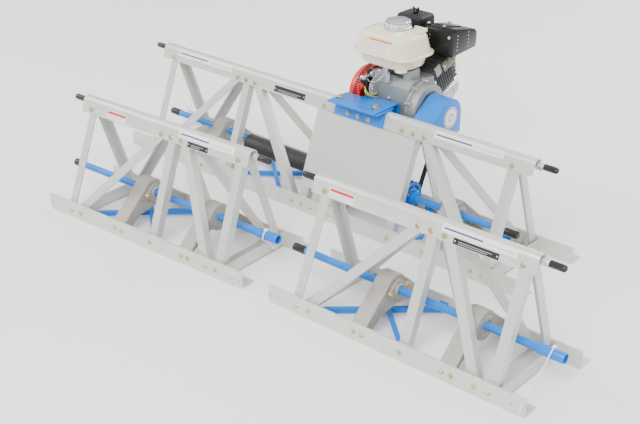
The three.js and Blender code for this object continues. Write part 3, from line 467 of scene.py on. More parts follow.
def sharp_edges(faces, angle):
    """Edges of these faces where the surface turns by more than an angle in degrees."""
    limit = math.radians(angle)
    edges = dict.fromkeys(e for f in faces for e in f.edges)
    return [e for e in edges if e.is_manifold and e.calc_face_angle(0) > limit]


def bar(bm, start, end, radius, sides=24, end_radius=None, edge=0.0):
    """A round bar or cone between two points."""
    start, end = Vector(start), Vector(end)
    run = end - start
    place = Matrix.Translation((start + end) / 2) @ facing(run)
    far = radius if end_radius is None else end_radius
    made = bmesh.ops.create_cone(
        bm,
        cap_ends=True,
        segments=sides,
        radius1=radius,
        radius2=far,
        depth=run.length,
        matrix=place,
    )
    if edge:
        faces = dict.fromkeys(f for v in made["verts"] for f in v.link_faces)
        round_edges(bm, sharp_edges(faces, 50), edge, 2)


def take(bm, part, material=0):
    """Adds one bmesh to another and frees it."""
    if material:
        for face in part.faces:
            face.material_index = material
    held = bpy.data.meshes.new("held")
    part.to_mesh(held)
    part.free()
    bm.from_mesh(held)
    bpy.data.meshes.remove(held)


def turned(bm, points, centre, direction=(0, 0, 1), steps=48, material=0):
    """A piece turned about a line, closed if both ends stand off it.

    Points are (radius, distance along the line).
    """
    part = bmesh.new()
    place = Matrix.Translation(centre) @ facing(direction)
    verts = [part.verts.new(place @ Vector((r, 0, d))) for r, d in points]
    for pair in zip(verts, verts[1:]):
        part.edges.new(pair)
    if points[0][0] > 0 and points[-1][0] > 0:
        part.edges.new((verts[-1], verts[0]))
    bmesh.ops.spin(
        part,
        geom=part.verts[:] + part.edges[:],
        cent=centre,
        axis=place.to_3x3() @ Vector((0, 0, 1)),
        angle=2 * math.pi,
        steps=steps,
        use_merge=True,
        use_duplicate=False,
    )
    take(bm, part, material)


def plate(bm, points, direction, thickness, corner=0.0, edge=0.0, segments=4, material=0):
    """A flat plate: an outline of a few points, its corners rounded, pushed out along a direction."""
    part = bmesh.new()
    part.faces.new([part.verts.new(p) for p in points])
    if corner:
        bmesh.ops.bevel(
            part,
            geom=part.verts[:],
            offset=corner,
            offset_type="OFFSET",
            affect="VERTICES",
            segments=segments,
            profile=0.5,
            material=-1,
            clamp_overlap=True,
        )
    made = bmesh.ops.extrude_face_region(part, geom=part.faces[:])
    moved = [g for g in made["geom"] if isinstance(g, bmesh.types.BMVert)]
    bmesh.ops.translate(part, verts=moved, vec=Vector(direction).normalized() * thickness)
    bmesh.ops.recalc_face_normals(part, faces=part.faces)
    if edge:
        round_edges(part, sharp_edges(part.faces, 50), edge, 2)
    take(bm, part, material)


def stack(bm, low, high, radius, rings, corner_steps=6, material=0):
    """A body built upwards from a rounded rectangle: each ring is (height, inset)."""
    part = bmesh.new()
    width, depth = high[0] - low[0], high[1] - low[1]
    centre = Vector(((low[0] + high[0]) / 2, (low[1] + high[1]) / 2, 0))
    height, inset = rings[0]
    spread = Matrix.Diagonal((width / 2 - inset, depth / 2 - inset, 1, 1))
    bmesh.ops.create_grid(
        part, x_segments=1, y_segments=1, size=1, matrix=at(centre.x, centre.y, height) @ spread
    )
    bmesh.ops.bevel(
        part,
        geom=part.verts[:],
        offset=radius,
        offset_type="OFFSET",
        affect="VERTICES",
        segments=corner_steps,
        profile=0.5,
        material=-1,
    )
    face = part.faces[:][0]
    for next_height, next_inset in rings[1:]:
        made = bmesh.ops.extrude_face_region(part, geom=[face])["geom"]
        moved = [g for g in made if isinstance(g, bmesh.types.BMVert)]
        face = next(g for g in made if isinstance(g, bmesh.types.BMFace))
        grow = (
            (width - 2 * next_inset) / (width - 2 * inset),
            (depth - 2 * next_inset) / (depth - 2 * inset),
            1,
        )
        bmesh.ops.scale(part, vec=grow, verts=moved, space=Matrix.Translation(-centre))
        bmesh.ops.translate(part, verts=moved, vec=(0, 0, next_height - height))
        height, inset = next_height, next_inset
    take(bm, part, material)


def swept(bm, points, radius, sides=10, closed=False, flat=None):
    """A tube or strap along a smooth path, made with a curve and taken over as a mesh."""
    curve = bpy.data.curves.new("path", "CURVE")
    curve.dimensions = "3D"
    curve.resolution_u = 6
    curve.bevel_resolution = max(1, sides // 4)
    curve.use_fill_caps = True
    curve.bevel_depth = radius
    if flat:
        curve.extrude = flat
        curve.bevel_depth = radius
    spline = curve.splines.new("NURBS")
    spline.points.add(len(points) - 1)
    for point, place in zip(spline.points, points):
        point.co = (*place, 1)
    spline.order_u = 4
    spline.use_endpoint_u = not closed
    spline.use_cyclic_u = closed
    holder = bpy.data.objects.new("path", curve)
    made = bpy.data.meshes.new_from_object(holder)
    bm.from_mesh(made)
    bpy.data.meshes.remove(made)
    bpy.data.objects.remove(holder)
    bpy.data.curves.remove(curve)


def bolt(bm, place, across=10.5, height=4.2, washer=0.0, turn=0.0, nut=0.0):
    """A hex head standing on +Z at a place, on a washer, with a nut behind a given grip."""
    lift = 0.9 if washer else 0.0
    if washer:
        made = bmesh.ops.create_cone(
            bm, cap_ends=True, segments=24, radius1=washer / 2, radius2=washer / 2, depth=0.9,
            matrix=place @ at(0, 0, 0.45),
        )
        faces = dict.fromkeys(f for v in made["verts"] for f in v.link_faces)
        for face in faces:
            face.material_index = 1
    radius = across / 2 / math.cos(math.pi / 6)
    spin_place = place @ Matrix.Rotation(turn, 4, "Z")
    made = bmesh.ops.create_cone(
        bm, cap_ends=True, segments=6, radius1=radius, radius2=radius, depth=height - 0.9,
        matrix=spin_place @ at(0, 0, lift + (height - 0.9) / 2),
    )
    bmesh.ops.create_cone(
        bm, cap_ends=True, segments=24, radius1=across / 2 + 0.15, radius2=across / 2 - 0.8, depth=0.9,
        matrix=spin_place @ at(0, 0, lift + height - 0.45),
    )
    if nut:
        bmesh.ops.create_cone(
            bm, cap_ends=True, segments=6, radius1=radius, radius2=radius, depth=5,
            matrix=spin_place @ at(0, 0, -nut - 2.5),
        )
        bmesh.ops.create_cone(
            bm, cap_ends=True, segments=12, radius1=2.9, radius2=2.9, depth=3,
            matrix=spin_place @ at(0, 0, -nut - 6.5),
        )


def screw(bm, place, radius=5.0, height=2.6, material=0):
    """A domed head standing on +Z at a place."""
    dome = [(0, -0.4), (radius, -0.4), (radius, 0.5), (radius * 0.86, height * 0.6)]
    dome += [(radius * 0.5, height * 0.93), (0, height)]
    turned(bm, dome, place.translation, place.col[2].xyz, 20, material)


def piece(name, bm, finish, body, section="power", replaces=(), sharp=34, extra=(), recalc=True):
    """Turns a bmesh in a section's millimetres into a piece that rides on a body, if one is given."""
    bmesh.ops.transform(bm, matrix=PLACE[section], verts=bm.verts)
    bmesh.ops.remove_doubles(bm, verts=bm.verts, dist=1e-6)
    if recalc:
        bmesh.ops.recalc_face_normals(bm, faces=bm.faces)
    mesh = bpy.data.meshes.new(name)
    bm.to_mesh(mesh)
    bm.free()
    mesh.polygons.foreach_set("use_smooth", [True] * len(mesh.polygons))
    mesh.set_sharp_from_angle(angle=math.radians(sharp))
    made = bpy.data.objects.new(name, mesh)
    bpy.context.scene.collection.objects.link(made)
    for each in (finish, *extra):
        mesh.materials.append(finishes()[each])
    if body:
        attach(made, body)
    if replaces:
        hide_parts(*replaces)
    return made


def node_copy(node):
    """A bmesh copy of a CAD node with its loose triangles joined and flat areas made whole."""
    bm = bmesh.new()
    bm.from_mesh(frame["nodes"][node].data)
    bmesh.ops.remove_doubles(bm, verts=bm.verts, dist=2e-6)
    bmesh.ops.dissolve_limit(
        bm, angle_limit=math.radians(0.6), verts=bm.verts, edges=bm.edges, delimit={"NORMAL"}
    )
    return bm


def softened(node, width, angle=35, segments=2):
    """A copy of a CAD node with its edges rounded by a width in millimetres."""
    bm = node_copy(node)
    round_edges(bm, sharp_edges(bm.faces, angle), width / 1000, segments)
    return bm


def remeshed(node, voxel, passes, name, finish, body):
    """A copy of a CAD node with every corner flowing into the next, as a casting's do."""
    bm = node_copy(node)
    mesh = bpy.data.meshes.new(name)
    bm.to_mesh(mesh)
    bm.free()
    holder = bpy.data.objects.new(name + "_rough", mesh)
    bpy.context.scene.collection.objects.link(holder)
    grid = holder.modifiers.new("grid", "REMESH")
    grid.mode = "VOXEL"
    grid.voxel_size = voxel / 1000
    bpy.context.view_layer.update()
    graph = bpy.context.evaluated_depsgraph_get()
    rough = bpy.data.meshes.new_from_object(holder.evaluated_get(graph))
    bpy.data.objects.remove(holder)
    bm = bmesh.new()
    bm.from_mesh(rough)
    bpy.data.meshes.remove(rough)
    for _ in range(passes):
        bmesh.ops.smooth_vert(
            bm, verts=bm.verts, factor=0.5, use_axis_x=True, use_axis_y=True, use_axis_z=True
        )
    return piece(name, bm, finish, body, "row", (node,), sharp=80)


def coat(nodes, finish):
    """Gives CAD nodes that keep their own shape a better finish."""
    for node in nodes:
        target = frame["nodes"][node]
        target.data.materials.clear()
        target.data.materials.append(finishes()[finish])


# ------------------------------------------------------------------ the frame's pieces


def build_rails():
    """Finishes on the flat-faced pieces that keep their own shape."""
    for section in BODY:
        coat([f"{section}_front_blade", f"{section}_rear_blade"], "mill_x")
        coat([f"{section}_left_end_frame", f"{section}_right_end_frame"], "mill_z")
    coat(["left_middle_brace_pair", "right_middle_brace_pair"], "mill_z")
    coat([f"power_brace_pair_{n}" for n in range(1, 6)], "mill_z")
    coat(["left_cross_brace", "right_cross_brace", "power_cross_brace_1", "power_cross_brace_2"], "blue")
    coat(["front_panel"], "sheet")


def chord_edge(lean, side, height):
    """The outer face of a chord's flange at a height: a point and the way it faces."""
    y = side * (CHORD_RADIUS / math.cos(lean) + (CHORD_HEIGHT - height) * math.tan(lean))
    return y, Vector((0, side * math.cos(lean), math.sin(lean)))


def build_chords():
    """Half-round extrusions with two flared flanges, drawn as one line and given a wall."""
    for section, body in BODY.items():
        bm = bmesh.new()
        start, end = CHORD_SETBACK, LENGTH[section] - CHORD_SETBACK
        first = bm.verts.new(
            (start, CHORD_RADIUS * math.cos(REAR_LEAN), CHORD_HEIGHT + CHORD_RADIUS * math.sin(REAR_LEAN))
        )
        bmesh.ops.spin(
            bm,
            geom=[first],
            cent=(start, 0, CHORD_HEIGHT),
            axis=(1, 0, 0),
            angle=math.pi - FRONT_LEAN - REAR_LEAN,
            steps=28,
            use_merge=False,
            use_duplicate=False,
        )
        ends = [v for v in bm.verts if len(v.link_edges) == 1]
        for vert in ends:
            side, lean = (1, REAR_LEAN) if vert.co.y > 0 else (-1, FRONT_LEAN)
            y = chord_edge(lean, side, CHORD_HEIGHT - FLANGE_DROP)[0]
            low = bmesh.ops.extrude_vert_indiv(bm, verts=[vert])["verts"][0]
            low.co = (start, y, CHORD_HEIGHT - FLANGE_DROP)
        made = bmesh.ops.extrude_edge_only(bm, edges=bm.edges[:])["geom"]
        moved = [g for g in made if isinstance(g, bmesh.types.BMVert)]
        bmesh.ops.translate(bm, verts=moved, vec=(end - start, 0, 0))
        bmesh.ops.recalc_face_normals(bm, faces=bm.faces)
        bmesh.ops.solidify(bm, geom=bm.faces[:], thickness=CHORD_WALL)
        round_edges(bm, sharp_edges(bm.faces, 60), 0.4, 2)
        for x in (start + 38, end - 38):
            screw(bm, at(x, 0, CHORD_HEIGHT + CHORD_RADIUS - 0.2), 3.2, 1.2)
        piece(f"{section}_chord_rail", bm, "mill_x", body, section, (f"{section}_chord",))


def build_tie_rods():
    """Rods through the chords: nuts, a round coupler and vinyl caps on their ends."""
    for section in BODY:
        left, right = CHORD_SETBACK, LENGTH[section] - CHORD_SETBACK
        line = Vector((0, 0, CHORD_HEIGHT))
        x = Vector((1, 0, 0))
        bm = bmesh.new()
        collar = CHORD_RADIUS - CHORD_WALL - 0.3
        turned(
            bm,
            [
                (0, left - 9.5), (5.6, left - 9.5), (6.2, left - 8.5), (6.2, left + 4),
                (collar, left + 4.5), (collar, left + 15.5), (6.2, left + 16), (6.2, right - 20),
                (8.0, right - 20), (8.6, right - 19), (8.6, right + 17), (7.8, right + 18.6),
                (6.4, right + 18.8), (6.4, right + 26), (0, right + 26),
            ],
            line,
            x,
            32,
        )
        for place in (left + 14.6, right - 14.6):
            turned(bm, [(3, place - 1), (collar - 1.2, place - 1), (collar - 1.2, place + 1),
                        (3, place + 1)], line, x, 32)
        bolt(bm, Matrix.Translation((left - 1.5, 0, CHORD_HEIGHT)) @ facing((-1, 0, 0)), 17, 6.5)
        piece(
            f"{section}_rod_and_coupler", bm, "zinc", ROD_BODY[section], section,
            (f"{section}_tie_rod",),
        )
        bm = bmesh.new()
        for start, way in ((left - 9, -1), (right + 19, 1)):
            turned(
                bm,
                [
                    (6.4, 0.4), (8.3, 0.4), (8.6, 1.4), (8.6, 33), (8.2, 36.5), (6.9, 39.2), (4.4, 40.6),
                    (0, 41), (0, 38), (6.4, 37),
                ][:8] + [(0, 41)],
                line + x * start,
                x * way,
                32,
            )
        piece(f"{section}_rod_caps", bm, "vinyl", ROD_BODY[section], section)


def build_shafts():
    """Painted shafts with vinyl caps and, on the extensions, a socket sleeve."""
    x = Vector((1, 0, 0))
    line = Vector((0, 0, SHAFT_HEIGHT))
    for section in BODY:
        bm = bmesh.new()
        caps = bmesh.new()
        r = SHAFT_RADIUS
        if section == "power":
            turned(bm, [(0, 66), (9.2, 66), (r, 67), (r, 1422), (9.2, 1423), (0, 1423)], line, x, 40)
            cap_ends = ((104, -1, 40), (1385, 1, 40))
        else:
            turned(
                bm,
                [
                    (0, -18), (9.2, -18), (r, -17), (r, 715.5), (12.6, 716), (13.5, 717.2), (13.5, 781.6),
                    (12.8, 783), (11.4, 783), (10.6, 782.2), (10.6, 751), (8, 751), (0, 748),
                ],
                line,
                x,
                40,
            )
            cap_ends = ((20, -1, 40),)
        for start, way, length in cap_ends:
            turned(
                caps,
                [
                    (10.15, 0), (10.9, 0), (11.2, 0.8), (11.2, length - 4), (10.8, length - 1.8),
                    (9.4, length - 0.5), (7, length), (0, length),
                ],
                line + x * start,
                x * way,
                40,
            )
        name = {"power": "power_eccentric_shaft"}.get(section, f"{section}_eccentric_shaft")
        piece(f"{section}_shaft_bar", bm, "blue", SHAFT_BODY[section], section, (name,))
        piece(f"{section}_shaft_caps", caps, "vinyl", SHAFT_BODY[section], section)


def build_castings():
    """Bearing yokes: cast bodies with a machined ring and, on one hand, a bolted bearing flange."""
    x = Vector((1, 0, 0))
    for section, body in BODY.items():
        for label, centre, web in CASTINGS[section]:
            name = f"{section}_bearing_casting_{label}"
            remeshed(name, 2.2, 4, f"{name}_body", "cast", body)
            bm = bmesh.new()
            for side in (-1, 1):
                face = Vector((centre + side * CASTING_WIDTH / 2, 0, SHAFT_HEIGHT))
                turned(
                    bm,
                    [(10.9, -3), (10.9, 0.7), (14, 1.0), (14.6, 0.4), (22, 0.4), (22.6, 1.0),
                     (25.6, 0.8), (26, -3)],
                    face,
                    x * side,
                    48,
                )
            piece(f"{name}_ring", bm, "machined", body, section)
            if web < 0:
                continue
            bm = bmesh.new()
            right = centre + CASTING_WIDTH / 2 + 1.2
            points = [(right, 43, SHAFT_HEIGHT), (right, 0, SHAFT_HEIGHT + 31), (right, -43, SHAFT_HEIGHT)]
            points.append((right, 0, SHAFT_HEIGHT - 31))
            part = bmesh.new()
            plate(part, points, x, 7, 9, 1.2, 5)
            take(bm, part)
            turned(
                bm,
                [(11.2, 5), (11.2, 12), (14.6, 12.2), (16.2, 11), (17.4, 7), (19, 6.6), (19, 5)],
                Vector((right, 0, SHAFT_HEIGHT)),
                x,
                40,
            )
            piece(f"{name}_flange", bm, "blue_satin" if section == "power" else "cast", body,
                  section)
            bm = bmesh.new()
            for y in (-33, 33):
                bolt(bm, Matrix.Translation((right + 7, y, SHAFT_HEIGHT)) @ facing(x), 13, 6, 18, 0.3)
            piece(f"{name}_flange_bolts", bm, "brass_zinc", body, section, extra=("zinc",))


def build_fasteners():
    """Hex bolts and washers along the blades and chords, and the panel's screws."""
    for section, body in BODY.items():
        bm = bmesh.new()
        turn = 0.2
        for x in BLADE_BOLTS[section] + CASTING_BOLTS[section]:
            grip = 9 if x in BLADE_BOLTS[section] else 13.5
            for y, way in ((BLADE_FRONT, -1), (BLADE_REAR, 1)):
                turn += 0.7
                place = Matrix.Translation((x, y, BLADE_BOLT_HEIGHT)) @ facing((0, way, 0))
                bolt(bm, place, 10.5, 3.2, 16, turn, grip)
        spots = [(x, 0.0) for x in CHORD_BOLTS[section]]
        if section == "power":
            spots += [(x, 4.3) for x in SADDLE_BOLTS]
        for x, lift in spots:
            for side, lean in ((-1, FRONT_LEAN), (1, REAR_LEAN)):
                y, way = chord_edge(lean, side, CHORD_BOLT_HEIGHT)
                turn += 0.9
                start = Vector((x, y, CHORD_BOLT_HEIGHT)) + way * lift
                bolt(bm, Matrix.Translation(start) @ facing(way), 10.5, 4.2, 15, turn)
        piece(f"{section}_bolts", bm, "brass_zinc", body, section, extra=("zinc",))
    bm = bmesh.new()
    for x, z in ((755, 272), (1077, 272), (742.5, 95), (1073, 95)):
        y = -119.9 - 0.3 + (z - 30) * math.tan(FRONT_LEAN) - 2.13
        way = Vector((0, -math.cos(FRONT_LEAN), math.sin(FRONT_LEAN)))
        screw(bm, Matrix.Translation((x, y, z)) @ facing(way), 5, 2.4)
    piece("panel_screws", bm, "zinc", "power_section")


def chord_patch(bm, x0, x1, s0, s1, lift, material=0):
    """A thin printed patch that follows a chord's front: s runs up from where flange meets round."""
    part = bmesh.new()
    place = at((x0 + x1) / 2, (s0 + s1) / 2, 0) @ Matrix.Diagonal(((x1 - x0) / 2, (s1 - s0) / 2, 1, 1))
    bmesh.ops.create_grid(part, x_segments=2, y_segments=12, size=1, matrix=place)
    made = bmesh.ops.extrude_face_region(part, geom=part.faces[:])["geom"]
    bmesh.ops.translate(part, verts=[g for g in made if isinstance(g, bmesh.types.BMVert)], vec=(0, 0, 0.3))
    for vert in part.verts:
        x, along, out = vert.co.x, vert.co.y, vert.co.z + lift
        turn = FRONT_LEAN + max(along, 0) / CHORD_RADIUS
        reach = CHORD_RADIUS + out
        y = -reach * math.cos(turn) + min(along, 0) * math.sin(FRONT_LEAN)
        z = CHORD_HEIGHT + reach * math.sin(turn) + min(along, 0) * math.cos(FRONT_LEAN)
        vert.co = (x, y, z)
    take(bm, part, material)


def build_labels():
    """Plain printed patches and black riveted plates, with nothing written on them."""
    warning = {"right": (115, 192), "left": (165, 242)}
    strips = {"right": [(447, 650)], "left": [(447, 650)], "power": [(130, 372), (1148, 1370)]}
    data = {"right": (484, 606), "left": (484, 560), "power": (557, 681)}
    for section, body in BODY.items():
        bm = bmesh.new()
        if section in warning:
            x0, x1 = warning[section]
            chord_patch(bm, x0, x1, -28.5, -5.5, 0.05)
            chord_patch(bm, x0 + 2.5, x1 - 2.5, -14.5, -7.5, 0.2, 1)
            for row in range(3):
                low = -18.5 - row * 3.2
                chord_patch(bm, x0 + 5, x1 - 8 - row * 9, low, low + 1.0, 0.2, 2)
        for x0, x1 in strips[section]:
            chord_patch(bm, x0, x1, -13, 8.5, 0.05)
            chord_patch(bm, x0 + 7, x1 - 0.45 * (x1 - x0), -4.5, -0.5, 0.2, 4)
            chord_patch(bm, x0 + 0.6 * (x1 - x0), x1 - 8, -5, -3.4, 0.2, 2)
        x0, x1 = data[section]
        low, high = (-31, -16) if section != "power" else (-27, -8)
        chord_patch(bm, x0, x1, low, high, 0.05, 3)
        for row in range(2):
            chord_patch(bm, x0 + 14, x1 - 30 + row * 12, low + 3.4 + row * 4.4, low + 4.7 + row * 4.4,
                        0.2, 2)
        for x in (x0 + 5, x1 - 5):
            halfway = (low + high) / 2
            height = CHORD_HEIGHT + CHORD_RADIUS * math.sin(FRONT_LEAN) + halfway * math.cos(FRONT_LEAN)
            y, way = chord_edge(FRONT_LEAN, -1, height)
            place = Matrix.Translation(Vector((x, y, height)) + way * 0.4) @ facing(way)
            screw(bm, place, 2.1, 1.2, 5)
        piece(
            f"{section}_labels", bm, "white", body, section,
            extra=("red_print", "grey_print", "black_plate", "navy_print", "zinc"),
        )


def build_straps():
    """Nylon straps that hold the extensions' shafts to their frames."""
    half = 1.9
    for section, path, head in (
        (
            "right",
            [
                (751, 9, 116), (752, -6, 119.5), (752, -17, 111), (753, -44, 86), (753, -86, 52),
                (753.5, -118, 27), (753.6, -131, 17), (753.6, -134, 22), (753.4, -124, 34),
                (752, -90, 64), (751, -46, 92), (750, -13, 88), (749, 4, 87.5), (750, 16, 96),
                (751, 16, 108),
            ],
            (751, 3, 118.5),
        ),
        (
            "left",
            [
                (742, -9, 116), (742, 6, 119.5), (742, 17, 111), (743, 30, 90), (743, 40, 62),
                (743, 36, 45), (742, 22, 58), (741, 6, 84), (741, -8, 88), (741, -16, 96), (742, -16, 108),
            ],
            (742, -3, 118.5),
        ),
    ):
        bm = bmesh.new()
        swept(bm, path, half, 8, closed=True)
        block(bm, (head[0] - 4.5, head[1] - 5, head[2] - 2), (head[0] + 4.5, head[1] + 5, head[2] + 4.5),
              1.4)
        piece(f"{section}_nylon_strap", bm, "nylon", BODY[section], section)


def build_guard():
    """The guard tube that hangs on the shaft behind the panel."""
    bm = bmesh.new()
    turned(
        bm,
        [(25.4, 425.8), (26.2, 425), (27.4, 425), (28, 425.8), (28, 834.2), (27.4, 835), (26.2, 835),
         (25.4, 834.2)],
        (0, 0, 103 + 10 + 0.3 - 25.4),
        (1, 0, 0),
        56,
    )
    piece("guard_pipe", bm, "matt_black", "guard", "power", ("shaft_guard_tube",))


# ------------------------------------------------------------------ engine mounting and drive


def build_mounting():
    """The saddle over the chord and the plate that carries the engine."""
    piece("saddle_plate", softened("chord_saddle", 1.2), "blue", "power_section", "row",
          ("chord_saddle",))
    piece("mount_plate", softened("engine_mount", 1.4), "blue", "power_section", "row",
          ("engine_mount",))
    bm = bmesh.new()
    for x in (814, 943):
        bolt(bm, at(x, -16, 348.2), 13, 6.5, 24, 0.4)
    for x, y in ((866, 78), (866, 190), (978, 78), (978, 190)):
        bolt(bm, at(x, y, 236.2), 12, 6, 20, 0.2, 17)
    piece("mount_bolts", bm, "brass_zinc", "power_section", extra=("zinc",))


def build_drive():
    """Driven pulley with its bushing, belt, clutch and the hood over them."""
    x = Vector((1, 0, 0))
    low = Vector((0, 0, SHAFT_HEIGHT))
    bm = bmesh.new()
    half = 11
    rim = [
        (10.3, BELT_X - 9), (20, BELT_X - 9), (22, BELT_X - 5), (34, BELT_X - 4), (36, BELT_X - half),
        (45, BELT_X - half), (46, BELT_X - half + 1), (46, BELT_X - 7.5), (37, BELT_X - 5.8),
        (37, BELT_X + 5.8), (46, BELT_X + 7.5), (46, BELT_X + half - 1), (45, BELT_X + half),
        (36, BELT_X + half), (34, BELT_X + 4), (30, BELT_X + 4), (29, BELT_X + half),
        (21, BELT_X + half + 1), (20, BELT_X + half + 13), (19, BELT_X + half + 14),
        (10.3, BELT_X + half + 14),
    ]
    turned(bm, rim, low, x, 64)
    piece("driven_pulley_wheel", bm, "blue", "power_shaft", "power", ("driven_pulley",))
    bm = bmesh.new()
    for step in range(3):
        a = step * 2 * math.pi / 3 + 0.4
        spot = Vector((BELT_X + half + 0.4, 25 * math.cos(a), SHAFT_HEIGHT + 25 * math.sin(a)))
        bolt(bm, Matrix.Translation(spot) @ facing(x), 8, 3.4)
    piece("pulley_bolts", bm, "zinc", "power_shaft")
    piece("belt_loop", softened("drive_belt", 1.0, 40), "rubber", "power_section", "row",
          ("drive_belt",))

    hub = CRANK
    bm = bmesh.new()
    turned(
        bm,
        [
            (0, 1041.5), (12, 1041.5), (12, 1048), (38, 1048), (39, 1049), (39, 1051.5), (30, 1053.2),
            (30, 1064.8), (39, 1066.5), (39, 1069), (38, 1070), (36, 1072), (36, 1086), (34.5, 1088),
            (30, 1088.2), (28.5, 1086.6), (15, 1086.6), (13, 1088), (13, 1092), (12, 1093), (0, 1093),
        ],
        hub,
        x,
        64,
    )
    piece("clutch_drum", bm, "die_cast", "clutch", "power", ("centrifugal_clutch",))
    bm = softened("belt_cover", 1.6, 40, 3)
    piece("belt_hood", bm, "blue", "power_section", "row", ("belt_cover",))
    bm = bmesh.new()
    face = Vector((1108, 115, 322))
    turned(bm, [(0, -0.2), (31, -0.2), (31, 0.35), (30.6, 0.5), (0, 0.5)], face, x, 64)
    turned(bm, [(26, 0.4), (28.2, 0.4), (28.2, 0.75), (26, 0.75)], face, x, 64, 1)
    turned(bm, [(9, 0.4), (11.5, 0.4), (11.5, 0.75), (9, 0.75)], face, x, 64, 1)
    for part in bm.verts:
        part.co.x = min(part.co.x, 1108.4)
    piece("hood_disc", bm, "white", "power_section", extra=("blue",))


# ------------------------------------------------------------------ the engine


def build_crankcase():
    """Crankcase, drive-side cover with its gasket, bolts, ribs and dipstick."""
    x = Vector((1, 0, 0))
    piece("crankcase_body", softened("engine_crankcase", 3.0, 30, 3), "die_cast", "power_section",
          "row", ("engine_crankcase",))
    bm = bmesh.new()
    turned(bm, [(40, 999), (74, 999), (74, 1001), (40, 1001)], CRANK, x, 64)
    piece("cover_gasket", bm, "gasket", "power_section")
    bm = bmesh.new()
    turned(
        bm,
        [
            (30, 1001), (77, 1001), (78, 1002), (78, 1008), (76, 1010), (72, 1012), (70, 1030), (67, 1034),
            (52, 1036), (48, 1033.5), (30, 1033.5),
        ],
        CRANK,
        x,
        72,
    )
    for step in range(10):
        a = step * math.pi / 5 + 0.25
        y, z = 115 + 76 * math.cos(a), 330 + 76 * math.sin(a)
        bar(bm, (1001, y, z), (1012, y, z), 8, 20, 7.2, 0.8)
    for step in range(8):
        a = step * math.pi / 4
        inner = Vector((1033, 115 + 24 * math.cos(a), 330 + 24 * math.sin(a)))
        outer = Vector((1030, 115 + 66 * math.cos(a), 330 + 66 * math.sin(a)))
        bar(bm, inner, outer, 3.2, 8)
    bar(bm, (900, 70, 236), (900, 62, 262), 10, 24, 9, 1)
    bar(bm, (985, 78, 252), (1000, 62, 268), 11, 24, 10, 1)
    piece("drive_side_cover", bm, "die_cast", "power_section")
    bm = bmesh.new()
    for step in range(10):
        a = step * math.pi / 5 + 0.25
        spot = Vector((1012, 115 + 76 * math.cos(a), 330 + 76 * math.sin(a)))
        bolt(bm, Matrix.Translation(spot) @ facing(x), 9, 5, 0, 0.3 * step)
    for y, z in ((62, 300), (62, 352), (176, 262)):
        bolt(bm, Matrix.Translation((930, 58.6, z)) @ facing((0, -1, 0)), 9, 5)
    turned(bm, [(0, 1034), (19, 1034), (19, 1036.5), (12, 1037), (12, 1041), (0, 1041)], CRANK, x, 40, 1)
    piece("crankcase_bolts", bm, "zinc", "power_section", extra=("machined",))
    bm = bmesh.new()
    way = Vector((1, -0.9, 0.5)).normalized()
    turned(bm, [(0, 0), (9, 0), (9, 4), (12, 5), (12, 15), (10, 18), (0, 18)], Vector((998, 64, 266)),
           way, 32)
    block(bm, (1003, 50, 272), (1016, 55, 284), 1.5)
    piece("dipstick", bm, "moulded", "power_section")


def build_cylinder():
    """Finned barrel, head, valve cover, shroud sheet, plug lead and head bolts."""
    bm = bmesh.new()
    fins = 9
    for step in range(fins):
        u = 90 + step * 9.4
        block(bm, (895.5, u, -48), (998.5, u + 2.4, 50), 0.9, 2)
    block(bm, (908, 88.4, -36), (986, 184, 38), 5, 3)
    for step in range(7):
        z = -40 + step * 13
        block(bm, (899, 170, z), (995, 190, z + 4), 1.2, 2)
    block(bm, (904, 168, -42), (990, 189, 44), 4, 3)
    bmesh.ops.transform(bm, matrix=TILTED, verts=bm.verts)
    piece("finned_cylinder", bm, "fins", "power_section", "power", ("engine_cylinder",))
    bm = bmesh.new()
    block(bm, (907, 189, -34), (987, 194, 36), 2, 2)
    block(bm, (912, 194, -30), (982, 214, 32), 7, 4)
    block(bm, (1000, 92, 30), (1006, 118, 62), 2)
    bmesh.ops.transform(bm, matrix=TILTED, verts=bm.verts)
    piece("valve_cover", bm, "die_cast", "power_section")
    bm = bmesh.new()
    for x, v in ((912, -29), (982, -29), (912, 31), (982, 31)):
        bolt(bm, TILTED @ Matrix.Translation((x, 194.2, v)) @ facing((0, 1, 0)), 9, 5)
    for u, v in ((76, -40), (112, -60), (150, -64)):
        bolt(bm, TILTED @ Matrix.Translation((1004.2, u, v)) @ facing((1, 0, 0)), 9, 4, 0, u)
    piece("cylinder_bolts", bm, "zinc", "power_section")
    bm = bmesh.new()
    points = [(1002.5, 62, -38), (1002.5, 178, -52), (1002.5, 172, -76), (1002.5, 96, -96),
              (1002.5, 60, -84)]
    plate(bm, points, (1, 0, 0), 1.6, 9, 0.5, 5)
    bmesh.ops.transform(bm, matrix=TILTED, verts=bm.verts)
    piece("shroud_sheet", bm, "galvanised", "power_section")
    bm = bmesh.new()
    swept(
        bm,
        [TILTED @ Vector(p) for p in ((930, 194, -48), (914, 192, -60), (890, 166, -68), (868, 110, -62),
                                      (850, 60, -30))],
        3.4,
        10,
    )
    turned(bm, [(0, 0), (8, 0), (9, 4), (9, 12), (6.5, 15), (5, 18), (0, 18)],
           TILTED @ Vector((930, 180, -46)),
           (TILTED.to_3x3() @ Vector((0, 1, -0.2))), 28)
    piece("plug_lead", bm, "rubber", "power_section")


